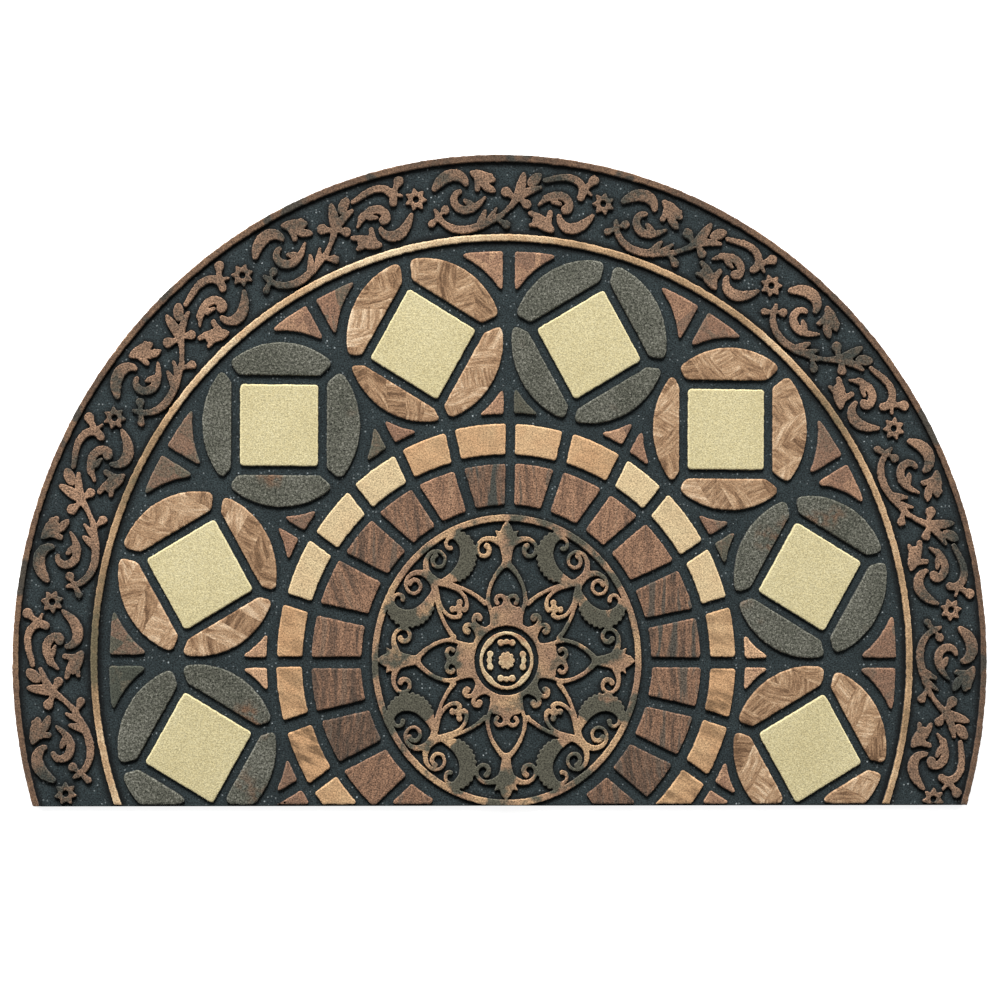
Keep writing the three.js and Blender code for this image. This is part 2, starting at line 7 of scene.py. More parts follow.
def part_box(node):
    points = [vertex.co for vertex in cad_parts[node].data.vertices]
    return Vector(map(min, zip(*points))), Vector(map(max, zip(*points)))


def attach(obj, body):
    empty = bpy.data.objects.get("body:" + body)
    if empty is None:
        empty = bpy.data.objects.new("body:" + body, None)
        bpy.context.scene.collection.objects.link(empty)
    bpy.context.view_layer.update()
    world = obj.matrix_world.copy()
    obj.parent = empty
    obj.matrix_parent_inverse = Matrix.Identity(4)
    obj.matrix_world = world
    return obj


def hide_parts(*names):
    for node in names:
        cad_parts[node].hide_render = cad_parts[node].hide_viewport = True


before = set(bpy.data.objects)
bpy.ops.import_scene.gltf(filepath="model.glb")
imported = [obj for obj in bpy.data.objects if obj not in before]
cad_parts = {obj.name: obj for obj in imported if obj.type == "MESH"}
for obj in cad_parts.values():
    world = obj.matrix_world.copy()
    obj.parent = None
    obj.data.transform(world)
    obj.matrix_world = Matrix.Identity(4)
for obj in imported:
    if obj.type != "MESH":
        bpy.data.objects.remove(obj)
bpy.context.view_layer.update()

# The rubber body: a flat D-shaped slab, moulded in one go, that carries all that is raised.
# Its upper face shows as the dark channels of the mosaic, and below it is bare black rubber.
MM = 0.001
low, high = (np.array(corner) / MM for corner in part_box("mat"))
BODY_WIDTH, BODY_DEPTH, TOP = high - low
RELIEF = 2.8
WEB = TOP - RELIEF
STRAIGHT_EDGE = low[1]
CENTRE_Y = -169.6
# Steps between points of the body's outline, and between the spots on its upper face, which stay
# this far inside the outline; and how far the sole's edge is rounded.
BODY_STEP = 4.0
SPOT_STEP = 2.5
SPOT_MARGIN = 5
SOLE_EASE = 0.6
# Each ring of the design is an oval: half its width across X, and half its height up Y.
RING_ACROSS = [0, 120.5, 126.6, 135.7, 182.6, 190.5, 214.9, 225, 368.9, 379.1, 386, 451.6, 457]
RING_UP = [0, 129.6, 136.2, 146, 185.2, 192.9, 222.4, 234.5, 385.4, 393.4, 400.6, 468.1, 474.6]
(MEDALLION_INNER, MEDALLION_OUTER, BROWN_INNER, BROWN_OUTER, TAN_INNER, TAN_OUTER, ROUNDS_INNER,
 ROUNDS_OUTER, INNER_RING_INNER, INNER_RING_OUTER, RIM_INNER, EDGE) = RING_ACROSS[1:]


def oval(across, degrees):
    """Points of the oval this wide at these angles: x is across times the cosine, y is the height
    that goes with it, read between the rings, times the sine, about the design's centre."""
    turn = np.radians(degrees)
    up = np.interp(across, RING_ACROSS, RING_UP)
    return np.stack(np.broadcast_arrays(across * np.cos(turn), CENTRE_Y + up * np.sin(turn)), -1)


def edge_angle(across, lift=0.0):
    """The angle where an oval meets the straight edge, or a line this far above it: the arcsine of
    the line's height about the centre over the oval's half height."""
    drop = STRAIGHT_EDGE + lift - CENTRE_Y
    return np.degrees(np.arcsin(drop / np.interp(across, RING_ACROSS, RING_UP)))


def long_arc(across, lift, step):
    """An oval from where it meets the straight edge round to its other end, in even angles about a
    step long."""
    first = edge_angle(across, lift)
    count = int(np.radians(180 - 2 * first) * across / step)
    return oval(across, np.linspace(first, 180 - first, count))


def run_of(line):
    """How far along a line each of its points is: the sum of the lengths of the links before it."""
    return np.concatenate([[0], np.cumsum(np.hypot(*np.diff(line, axis=0).T))])


def resampled(outline, step):
    """The closed outline with points at even steps along its length."""
    closed = np.vstack([outline, outline[:1]])
    run = run_of(closed)
    at = np.linspace(0, run[-1], max(int(run[-1] / step), 8), endpoint=False)
    return np.stack([np.interp(at, run, closed[:, axis]) for axis in (0, 1)], 1)


def left_of(along):
    """Steps of length one to the left of these ways: minus y and x, over the way's length."""
    return np.stack([-along[:, 1], along[:, 0]], 1) / np.linalg.norm(along, axis=1)[:, None]


def filled(points, onward):
    """Triangles between outlines, whose points each link to the one after, and any spots that
    follow them. A triangle with one of the links as a side is inside if it runs the same way
    round, and outside if it runs against it. Any other triangle is as its neighbours are."""
    count = len(points)
    links = np.stack([np.arange(len(onward)), onward], 1)
    flat = delaunay_2d_cdt([Vector(point) for point in points], links.tolist(), [], 1, 1e-6)
    owner = np.array([next(iter(source), -1) for source in flat[3]])
    triangles = owner[np.array(flat[2])]
    triangles = triangles[(triangles >= 0).all(1)]
    ahead = triangles * count + np.roll(triangles, -1, 1)
    against = np.roll(triangles, -1, 1) * count + triangles
    known = links @ (count, 1)
    state = np.isin(ahead, known).any(1) * 1 - np.isin(against, known).any(1)
    order = np.argsort(ahead, None)
    spot = np.searchsorted(ahead.ravel()[order], against).clip(max=ahead.size - 1)
    neighbour = order[spot] // 3
    while (state == 0).any():
        unknown = np.flatnonzero(state == 0)
        state[unknown] = np.sign(state[neighbour[unknown]].sum(1))
        if (state[unknown] == 0).all():
            break
    return triangles[state > 0]


# The most of a bend's radius that an inset takes up, and how fast insets change along an outline.
BEND_SHARE, INSET_SLOPE = 0.7, 0.12


def relief(name, outlines, profile, values=None, spots=None):
    """A closed mesh. Outlines run anticlockwise round the outside of a form and clockwise round a
    hole, and are carried up through the profile's rings: each ring is the outline moved inwards
    along its normals by the ring's inset, less where it bends tightly, and set at its height. The
    first and last rings are filled with triangles, the last one with any spots as well. Values
    are arrays, one number or row of numbers for each point of the outlines, kept on the mesh as
    attributes."""
    ahead = [np.roll(outline, -1, 0) for outline in outlines]
    behind = [np.roll(outline, 1, 0) for outline in outlines]
    points, ahead, behind = (np.vstack(part) for part in (outlines, ahead, behind))
    sizes = [len(outline) for outline in outlines]
    starts = np.cumsum([0] + sizes[:-1])
    onward = [start + np.roll(np.arange(size), -1) for start, size in zip(starts, sizes)]
    onward = np.concatenate(onward)
    back = np.argsort(onward)
    inwards = left_of(ahead - behind)
    into, out = points - behind, ahead - points
    bend = np.arctan2(into[:, 0] * out[:, 1] - into[:, 1] * out[:, 0], np.sum(into * out, 1))
    deepest = max(inset for inset, _ in profile)
    radius = np.linalg.norm(out, axis=1) / np.maximum(bend, 1e-3)
    share = np.minimum(1, BEND_SHARE * radius / deepest)
    for _ in range(2):
        share = np.minimum(share, np.minimum(share[back], share[onward]) + INSET_SLOPE)
    share = (share[back] + share + share[onward]) / 3
    rings = []
    for inset, height in profile:
        moved = points + inwards * (inset * (share if inset > 0 else np.ones_like(share)))[:, None]
        moved[:, 1] = np.maximum(moved[:, 1], STRAIGHT_EDGE)
        rings.append(np.column_stack([moved, np.full(len(moved), height)]))
    count = len(points)
    first = np.arange(count)
    quads = np.vstack([
        np.stack([first, onward, onward + count, first + count], 1) + ring * count
        for ring in range(len(profile) - 1)
    ])
    bottom = filled(points, onward)[:, ::-1]
    top = bottom[:, ::-1]
    if spots is not None:
        top = filled(np.vstack([points, spots]), onward)
        rings.append(np.column_stack([spots, np.full(len(spots), profile[-1][1])]))
    faces = [quads, top + count * (len(profile) - 1), bottom]
    repeated = {key: np.concatenate([value] * len(profile)) for key, value in (values or {}).items()}
    return new_piece(name, np.vstack(rings), faces, repeated)


def shown(name, data):
    """Data put into the scene as an object."""
    thing = bpy.data.objects.new(name, data)
    bpy.context.scene.collection.objects.link(thing)
    return thing


def keep(mesh, name, values):
    """Keeps an array on a mesh as an attribute: a number, or a row of three, for each point."""
    rows = values.ndim > 1
    attribute = mesh.attributes.new(name, "FLOAT_VECTOR" if rows else "FLOAT", "POINT")
    attribute.data.foreach_set("vector" if rows else "value", values.astype(np.float32).ravel())


def new_piece(name, points, faces, values):
    """Puts points, in millimetres, and arrays of faces into a smooth mesh, with its attributes."""
    mesh = bpy.data.meshes.new(name)
    mesh.vertices.add(len(points))
    mesh.vertices.foreach_set("co", (points * MM).astype(np.float32).ravel())
    corners = np.concatenate([group.ravel() for group in faces])
    sizes = np.concatenate([np.full(len(group), group.shape[1]) for group in faces])
    mesh.loops.add(len(corners))
    mesh.loops.foreach_set("vertex_index", corners.astype(np.int32))
    mesh.polygons.add(len(sizes))
    mesh.polygons.foreach_set("loop_start", (np.cumsum(sizes) - sizes).astype(np.int32))
    mesh.polygons.foreach_set("use_smooth", np.ones(len(sizes), bool))
    for key, value in values.items():
        keep(mesh, key, value)
    mesh.update(calc_edges=True)
    return shown(name, mesh)


def coated(piece, flock):
    """Gives a piece its flock and its place in the part."""
    piece.data.materials.append(flock)
    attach(piece, "root")
    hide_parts("mat")


# The light on the mat, in shares of the light that shows a white card as plain white.
LIGHT = 1.12


def ink(red, green, blue):
    """A printed colour, given as it looks on a screen from 0 to 255, as the surface's own colour:
    the screen's curve is undone, and the result is divided by the light."""
    screen = np.array([red, green, blue]) / 255
    linear = np.where(screen > 0.04045, ((screen + 0.055) / 1.055) ** 2.4, screen / 12.92)
    return (*(linear / LIGHT), 1.0)


class Wire:
    """A socket of a material's nodes. Arithmetic on wires and numbers adds Math nodes, and node()
    adds any other kind: its settings are set first, then its sockets get values or wires."""

    def __init__(self, tree, socket=None):
        self.tree = tree
        self.socket = socket

    def node(self, kind, settings=None, sockets=None, output=0):
        """One output of a new node. A ramp's stops are one of its settings."""
        made = self.tree.nodes.new("ShaderNode" + kind)
        settings = dict(settings or {})
        stops = settings.pop("stops", [])
        for key, value in settings.items():
            setattr(made, key, value)
        for index, (place, colour) in enumerate(stops):
            stops_made = made.color_ramp.elements
            stop = stops_made[index] if index < 2 else stops_made.new(place)
            stop.position = place
            stop.color = colour
        for key, value in (sockets or {}).items():
            if isinstance(value, Wire):
                self.tree.links.new(value.socket, made.inputs[key])
            else:
                made.inputs[key].default_value = value
        return Wire(self.tree, made.outputs[output])

    def math(self, operation, *values):
        """The result of a Math node's operation on wires and numbers."""
        return self.node("Math", {"operation": operation}, dict(enumerate(values)))

    def __add__(self, other):
        return self.math("ADD", self, other)

    def __radd__(self, other):
        return self.math("ADD", other, self)

    def __sub__(self, other):
        return self.math("SUBTRACT", self, other)

    def __rsub__(self, other):
        return self.math("SUBTRACT", other, self)

    def __mul__(self, other):
        return self.math("MULTIPLY", self, other)

    def __rmul__(self, other):
        return self.math("MULTIPLY", other, self)

    def clamped(self, start=0.0, end=1.0):
        """0 up to the start, 1 from the end on, and an even slope between them."""
        sockets = {"Value": self, "From Min": start, "From Max": end}
        return self.node("MapRange", {"clamp": True}, sockets)

    def noise(self, scale, detail=2.0, roughness=0.5):
        """Noise at this place, from about 0.25 to 0.75: scale is its number of waves in a metre."""
        sockets = {"Vector": self, "Scale": scale, "Detail": detail, "Roughness": roughness}
        return self.node("TexNoise", None, sockets, "Fac")

    def stretched(self, factors):
        """This place with each axis multiplied by its factor."""
        return self.node("VectorMath", {"operation": "MULTIPLY"}, {0: self, 1: factors})

    def stored(self, name, output="Fac"):
        """What the mesh keeps under this name at each point: a number, or three as a Vector."""
        return self.node("Attribute", {"attribute_name": name}, None, output)

    def part(self, axis):
        """One of this vector's three numbers."""
        return self.node("SeparateXYZ", None, {0: self}, axis)

    def joined(self, *parts):
        """A vector of three numbers or wires."""
        return self.node("CombineXYZ", None, dict(enumerate(parts)))

    def mixed(self, other, factor):
        """This colour turned into another one, a wire or a printed colour, by a factor from 0 to 1."""
        other = other if isinstance(other, Wire) else ink(*other)
        return self.node("Mix", {"data_type": "RGBA"}, {0: factor, 6: self, 7: other}, 2)

    def ramp(self, stops):
        """The colour at this value between stops, each a place from 0 to 1 and a printed colour."""
        stops = [(place, ink(*printed)) for place, printed in stops]
        return self.node("ValToRGB", {"stops": stops}, {"Fac": self}, "Color")

    def lit(self, factor):
        """This colour made lighter or darker by a factor."""
        return self.node("VectorMath", {"operation": "SCALE"}, {0: self, "Scale": factor})


# The fibres: waves in a metre, height of the bump in metres, and the darkest speck's brightness.
FIBRE_WAVES = 740
FIBRE_DEPTH = 0.0005
DARKEST_SPECK = 0.12
# Heights between which a wall turns from its bare flock ground to the print, and how far fibres fray it.
WALL_START, WALL_END = TOP - 2.0, TOP - 1.1
FRAY = 0.6
# The walls' colour below the print: bare flock, painted near black, darker than the slate channels, as
# painted shade on the walls.
WALL_GROUND_AND_SHADE = (20, 24, 25)
# A painted highlight in a band just under the top, where the rounded edge catches the light, is this much
# paler: its heights from where it starts to its end.
EDGE_HIGHLIGHT = 0.3
HIGHLIGHT_START, HIGHLIGHT_FULL, HIGHLIGHT_FADE, HIGHLIGHT_END = TOP - 0.9, TOP - 0.6, TOP - 0.12, TOP - 0.02
BLACK_RUBBER = (30, 31, 32)
LINT = (178, 187, 188)
LINT_CELLS = 280


def flocked(name, paint, grain, wall=True):
    """A material of short fibres on rubber. Paint gives the print's colour at a place. It is
    speckled by the fibres' tips, it covers the tops, with a painted highlight in a band just under
    them, and it ends a little way down the walls, where the bare flock shows, painted near black as
    shade, and the fibres raise a fine bump."""
    material = bpy.data.materials.new(name)
    material.use_nodes = True
    tree = material.node_tree
    shader = tree.nodes["Principled BSDF"]
    place = Wire(tree).node("TexCoord", output="Object")
    fibres = place.noise(FIBRE_WAVES, 2.0, 0.65)
    colour = paint(place)
    if wall:
        level = place.part(2) * (1 / MM)
        # Painted highlight along the rounded top edge.
        edge_highlight = level.clamped(HIGHLIGHT_START, HIGHLIGHT_FULL) * (1 - level.clamped(HIGHLIGHT_FADE, HIGHLIGHT_END))
        printed = (level + FRAY * (fibres - 0.5)).clamped(WALL_START, WALL_END)
        # Below the print the walls get the bare flock colour with painted shade.
        colour = colour.lit(1 + EDGE_HIGHLIGHT * edge_highlight).mixed(WALL_GROUND_AND_SHADE, 1 - printed)
    speckle = place.math("MAXIMUM", 1 + grain * (fibres - 0.5), DARKEST_SPECK)
    tree.links.new(colour.lit(speckle).socket, shader.inputs["Base Color"])
    bump = place.node("Bump", None, {"Strength": 0.7, "Distance": FIBRE_DEPTH, "Height": fibres})
    tree.links.new(bump.socket, shader.inputs["Normal"])
    shader.inputs["Roughness"].default_value = 0.92
    shader.inputs["Specular IOR Level"].default_value = 0.15
    shader.inputs["Sheen Weight"].default_value = 0.08
    shader.inputs["Sheen Roughness"].default_value = 0.6
    return material


def body_print(place):
    """Slate flock with slow cloudiness, shade beside the walls and scattered lint on top, and black
    rubber elsewhere. A fleck of lint is the middle of a cell, where a draw and slow noise choose it."""
    slate = place.noise(35, 3.0).ramp([(0.3, (40, 49, 51)), (0.7, (49, 59, 61))])
    cells = {"Vector": place, "Scale": LINT_CELLS, "Randomness": 1.0}
    near = place.node("TexVoronoi", None, cells, "Distance")
    drawn = place.node("TexVoronoi", None, cells, "Color").part(0).clamped(0.5, 1.0)
    fleck = (1 - near.clamped(0.08, 0.3)) * drawn * place.noise(40).clamped(0.3, 0.6)
    flock = slate.mixed(LINT, fleck).lit(place.stored("shade"))
    level = place.part(2) * (1 / MM)
    return flock.mixed(BLACK_RUBBER, 1 - level.clamped(WEB - 0.6, WEB - 0.1))


BODY_UNDER_RIM = RIM_INNER + 1.7
body_outline = resampled(long_arc(BODY_UNDER_RIM, 0, BODY_STEP), BODY_STEP)
body_profile = [
    (SOLE_EASE, 0), (0.18 * SOLE_EASE, 0.35 * SOLE_EASE), (0, SOLE_EASE),
    (0, WEB - 0.3), (0.1, WEB - 0.1), (0.3, WEB), (1.5, WEB),
]
spot_x = np.arange(low[0], high[0], SPOT_STEP)
spot_y = np.arange(low[1] + SPOT_STEP, high[1], SPOT_STEP)
spots = np.stack(np.meshgrid(spot_x, spot_y), -1).reshape(-1, 2)
centre = np.array([0, CENTRE_Y])
spot_angles = np.degrees(np.arctan2(spots[:, 1] - CENTRE_Y, spots[:, 0]))
spot_limit = oval(BODY_UNDER_RIM - SPOT_MARGIN, spot_angles)
spots = spots[np.hypot(*(spots - centre).T) < np.hypot(*(spot_limit - centre).T)]
body = relief("rubber_body", [body_outline], body_profile, None, spots)
coated(body, flocked("slate_flock", body_print, 4.8, False))

# The rim: a raised band round the curve, flush with the outside of the mat, printed as worn
# copper. It is part of the same moulding and ends flat at the straight edge.
# How far fibres push the band's points out of line, the step between points, and how far the ends
# start above the straight edge, so that they stay inside the mat.
RAGGED = 0.16
RIM_STEP = 1.6
RIM_LIFT = 0.12
# A top edge is rounded over this height, and the rim's over this width, in rings that lean in by
# these angles. A last ring lies this far past them on the flat top.
EDGE_DROP = 0.9
RIM_EASE = 1.3
EDGE_LEANS = np.radians([0, 25, 50, 70, 90])
LAST_INSET = 0.2
# How light the print is at angles round the rim: 0 dark bronze, 1 bright copper.
RIM_TONES = [
    (-20, 0.35), (30, 0.4), (70, 0.45), (90, 0.35), (115, 0.45), (150, 0.5), (175, 0.6), (200, 0.45),
]


def rounded_edge(ease, inset=0.0):
    """Rings up a wall's top edge: at each lean, the ease times one less the cosine inwards from the
    inset, and the drop times one less the sine below the top. A last ring lies flat on the top."""
    rise = EDGE_DROP * (1 - np.sin(EDGE_LEANS))
    across = inset + ease * (1 - np.cos(EDGE_LEANS))
    return [*zip(across, TOP - rise), (inset + ease + LAST_INSET, TOP)]


def ragged(outline, seed, amount=RAGGED):
    """The outline with its points pushed in or out at random, as fibres leave a rough edge: two
    draws, one of them smoothed over three points. Each group of pieces has seeds of its own."""
    draw = np.random.default_rng(seed).normal(0, amount, (2, len(outline)))
    push = 0.45 * draw[0] + (np.roll(draw[1], 1) + draw[1] + np.roll(draw[1], -1)) / 2
    return outline + left_of(np.roll(outline, -1, 0) - np.roll(outline, 1, 0)) * push[:, None]


def open_ring(inner, outer, lift, step):
    """A band's outline: along the outer oval, and back along the inner one."""
    band = np.vstack([long_arc(outer, lift, step), long_arc(inner, lift, step)[::-1]])
    return resampled(band, step)


def tone_round(outline, tones):
    """Each point's tone, read between the tones set at angles about the design's centre."""
    angle = np.degrees(np.arctan2(outline[:, 1] - CENTRE_Y, outline[:, 0]))
    angle = np.where(angle < -90, angle + 360, angle)
    return np.interp(angle, *zip(*tones))


def rim_print(place):
    """Bronze to copper by the tone of the place, with slow smudges, and short dark patches."""
    smudge = 1.3 * (place.noise(14, 3.0, 0.6) - 0.5) + 0.9 * (place.noise(150, 2.0) - 0.5)
    copper = (place.stored("tone") + smudge).ramp([
        (0.0, (88, 75, 62)), (0.35, (108, 84, 67)), (0.65, (131, 103, 80)), (1.0, (157, 128, 100)),
    ])
    return copper.mixed((66, 66, 60), 0.85 * place.noise(26, 2.0, 0.6).clamped(0.6, 0.64))


rim_band = ragged(open_ring(RIM_INNER, EDGE, RIM_LIFT, RIM_STEP), 1)
rim_profile = [(0.3, 0.15), (0, 0.8), *rounded_edge(RIM_EASE)]
rim = relief("rim_ring", [rim_band], rim_profile, {"tone": tone_round(rim_band, RIM_TONES)})
coated(rim, flocked("rim_flock", rim_print, 3.4))

# The inner ring: a narrow raised band between the border and the mosaic, moulded with the slab and
# printed cream and tan by turns.
# How far all that is raised inside the rim stops short of the straight edge.
EDGE_MARGIN = 1.6
INNER_RING_STEP = 1.2
# A tile's wall leans in this far, and its top edge is rounded over this width.
TILE_INSET, TILE_EASE = 0.45, 2.0
# How light the print is at angles round the inner ring: 0 olive, 0.5 tan, 1 cream.
INNER_RING_TONES = [
    (-20, 0.5), (30, 0.5), (40, 0.25), (50, 0.65), (60, 0.45), (80, 0.45), (90, 0.75), (105, 1), (120, 0.6),
    (135, 0.9), (150, 0.3), (165, 0.3), (180, 0), (190, 0.7), (200, 0.7),
]


def inner_ring_print(place):
    """Olive by tan to cream by the tone of the place, with smudges a few centimetres long."""
    smudge = 1.1 * (place.noise(24, 3.0, 0.6) - 0.5) + 0.5 * (place.noise(150, 2.0) - 0.5)
    return (place.stored("tone") + smudge).ramp([
        (0.0, (108, 98, 74)), (0.3, (154, 126, 94)), (0.6, (192, 158, 120)), (1.0, (228, 204, 166)),
    ])


inner_band = ragged(open_ring(INNER_RING_INNER, INNER_RING_OUTER, EDGE_MARGIN, INNER_RING_STEP), 2)
inner_tones = {"tone": tone_round(inner_band, INNER_RING_TONES)}
tile_profile = [(0.1, WEB - 1), *rounded_edge(TILE_EASE, TILE_INSET)]
inner_ring = relief("inner_ring", [inner_band], tile_profile, inner_tones)
coated(inner_ring, flocked("inner_ring_flock", inner_ring_print, 2.6))

# The square tiles: eight squares printed as cream stone, moulded with the slab, each in the middle
# of a round and standing on one corner towards the centre. The straight edge cuts the lowest two.
TILE_STEP = 1.2
TILE_RAGGED = 0.125
# The least area of a tile, the most of a side's length that one rounded corner takes up, the shares
# of its curve at which it has points, and how near two ends of sides meet in one corner.
SMALLEST_TILE = 60
CORNER_LIMIT = 0.49
CORNER_SHARES = np.linspace(0, 1, 12)[1:-1, None]
TOUCHING = 0.05
ROUND_SPACING = 30
ROUND_ANGLES = np.arange(-15, 196, ROUND_SPACING)
# How far each round's square sits off the round's middle, across and up.
SQUARE_SHIFTS = dict(zip(ROUND_ANGLES, [
    (1.4, -1.4), (0.7, 0.7), (-3, 0.5), (0.2, -1.2), (-2.3, -2.6), (-3, 0.5), (0.7, -0.2), (0, -0.9),
]))
# The oval on which the rounds' middles lie, and how much a round is stretched up.
ROUND_CENTRE = 296.3
ROUND_STRETCH = 1.05
SQUARE_HALF = 36.5
SQUARE_ROUNDING = 4.6


def turned(x, y, degrees):
    """Places turned about their origin: x times the cosine less y times the sine, and x times the
    sine plus y times the cosine."""
    cosine, sine = np.cos(np.radians(degrees)), np.sin(np.radians(degrees))
    return np.stack(np.broadcast_arrays(x * cosine - y * sine, x * sine + y * cosine), -1)


def in_round(degrees, outward, sideways):
    """Places about a round's centre, turned to the round's own angle and a little stretched up."""
    return oval(ROUND_CENTRE, degrees) + turned(outward, sideways, degrees) * (1, ROUND_STRETCH)


def area_of(outline):
    """Half the sum of the cross products of neighbouring points: positive if anticlockwise."""
    x, y = outline.T
    return 0.5 * np.sum(x * np.roll(y, -1) - np.roll(x, -1) * y)


def part_of(side, first, last):
    """A side without its first and last lengths, at steps of about half a millimetre."""
    run = run_of(side)
    at = np.linspace(first, run[-1] - last, max(int((run[-1] - first - last) * 2), 2))
    return np.stack([np.interp(at, run, side[:, axis]) for axis in (0, 1)], 1)


def above_edge(sides):
    """The stretches of sides above the straight edge's margin, in order, with a straight side
    where the outline was cut. A side gets a point wherever it crosses the margin's line."""
    lowest = STRAIGHT_EDGE + EDGE_MARGIN
    kept = []
    for side in sides:
        inside = side[:, 1] >= lowest
        cross = np.flatnonzero(inside[1:] != inside[:-1])
        share = (lowest - side[cross, 1]) / (side[cross + 1, 1] - side[cross, 1])
        met = side[cross] + share[:, None] * (side[cross + 1] - side[cross])
        met[:, 1] = lowest
        full = np.insert(side, cross + 1, met, axis=0)
        runs = np.split(full, np.flatnonzero(full[:, 1] < lowest))
        kept += [run[run[:, 1] >= lowest] for run in runs]
    kept = [run for run in kept if len(run) > 1]
    closed = []
    for run, following in zip(kept, kept[1:] + kept[:1]):
        closed.append(run)
        if np.linalg.norm(run[-1] - following[0]) > TOUCHING:
            closed.append(np.array([run[-1], following[0]]))
    return closed


def tile(sides, rounding, seed):
    """A tile's outline from its sides. Each corner is cut back by the rounding over the tangent of
    half the corner's angle, and the gap is bridged by a quadratic curve about the corner."""
    sides = above_edge([part_of(np.asarray(side, float), 0, 0) for side in sides])
    if not sides:
        return []
    corners = [side[0] for side in sides]
    cuts = []
    for before, after in zip(sides[-1:] + sides[:-1], sides):
        into, out = before[-1] - before[-2], after[1] - after[0]
        turn = np.arctan2(into[0] * out[1] - into[1] * out[0], into @ out)
        cuts.append(rounding * np.tan(abs(turn) / 2))
    lengths = [np.hypot(*np.diff(side, axis=0).T).sum() for side in sides]
    rolled = np.roll(lengths, 1)
    cuts = [min(cut, CORNER_LIMIT * a, CORNER_LIMIT * b) for cut, a, b in zip(cuts, lengths, rolled)]
    outline = []
    share = CORNER_SHARES
    for i, side in enumerate(sides):
        following = (i + 1) % len(sides)
        run = part_of(side, cuts[i], cuts[following])
        start, corner = run[-1], corners[following]
        end = part_of(sides[following], cuts[following], 0)[0]
        curve = start * (1 - share) ** 2 + corner * 2 * share * (1 - share) + end * share ** 2
        outline += [run, curve]
    outline = np.vstack(outline)
    if area_of(outline) < 0:
        outline = outline[::-1]
    if area_of(outline) < SMALLEST_TILE:
        return []
    return [ragged(resampled(outline, TILE_STEP), seed, TILE_RAGGED)]


def square(degrees):
    """The four sides between corners at the square's reach along its diagonals."""
    reach = SQUARE_HALF * np.sqrt(2)
    turns = np.radians([0, 90, 180, 270, 360])
    corners = in_round(degrees, reach * np.cos(turns), reach * np.sin(turns)) + SQUARE_SHIFTS[degrees]
    return tile([corners[i:i + 2] for i in range(4)], SQUARE_ROUNDING, int(degrees) + 500)


def square_print(place):
    """Cream stone: fine yellow and pale mottling."""
    mottle = 0.7 * place.noise(480, 3.0, 0.7) + 0.3 * place.noise(16, 2.0)
    return mottle.clamped(0.3, 0.7).ramp([
        (0.0, (202, 187, 138)), (0.5, (217, 204, 157)), (1.0, (230, 219, 176)),
    ])


square_outlines = [outline for degrees in ROUND_ANGLES for outline in square(degrees)]
squares = relief("square_tiles", square_outlines, tile_profile)
coated(squares, flocked("cream_stone_flock", square_print, 1.8))

# The petals: four round each square, slices of a circle, moulded with the slab. Rounds printed as
# marquetry, light brown veneers whose grain changes direction from patch to patch, alternate with
# rounds printed as charcoal stone.
# The circle of the petals' rims, how far its middle lies out from the round's, how far out a petal's
# chord is, and half the channel between two petals.
ROUND_RADIUS = 73.4
ROUND_RIM_OUT = 1.4
PETAL_CHORD = 43.9
PETAL_CHANNEL = 4.2
PETAL_ROUNDING = 7.4
PETAL_TURNS = (45, 135, 225, 315)
# Veneer, in metres: a patch's length, how far its cut wavers, and how the grain bows along it.
PATCH_LENGTH = 0.021
PATCH_WOBBLE = 0.006
VENEER_BOW = 6


def petal(degrees, turn):
    """A petal's sides: the round's rim, a channel line, the chord along the square, which follows
    the square's shift, and the other channel line. The channels run out from the square's corners."""
    chord_end = PETAL_CHORD - PETAL_CHANNEL * np.sqrt(2)
    lean = np.degrees(np.arcsin(PETAL_CHANNEL / ROUND_RADIUS))
    rim_turns = np.radians(np.linspace(turn - 45 + lean, turn + 45 - lean, 60))
    rim_out = ROUND_RIM_OUT + ROUND_RADIUS * np.cos(rim_turns)
    rim_side = in_round(degrees, rim_out, ROUND_RADIUS * np.sin(rim_turns))
    chord = turned(PETAL_CHORD, np.array([chord_end, -chord_end]), turn)
    chord = in_round(degrees, *chord.T) + SQUARE_SHIFTS[degrees]
    sides = [rim_side, [rim_side[-1], chord[0]], chord, [chord[1], rim_side[0]]]
    return tile(sides, PETAL_ROUNDING, int(degrees) * 7 + int(turn) + 1000)


def laid(outlines, directions, seeds):
    """For each point of each outline: its distance along and across the grain of its own piece of
    veneer, from the piece's middle, in metres, and the piece's own number."""
    rows = []
    for outline, direction, seed in zip(outlines, directions, seeds):
        placed = turned(*(outline - outline.mean(0)).T, -direction) * MM
        rows.append(np.column_stack([placed, np.full(len(outline), float(seed))]))
    return np.vstack(rows)


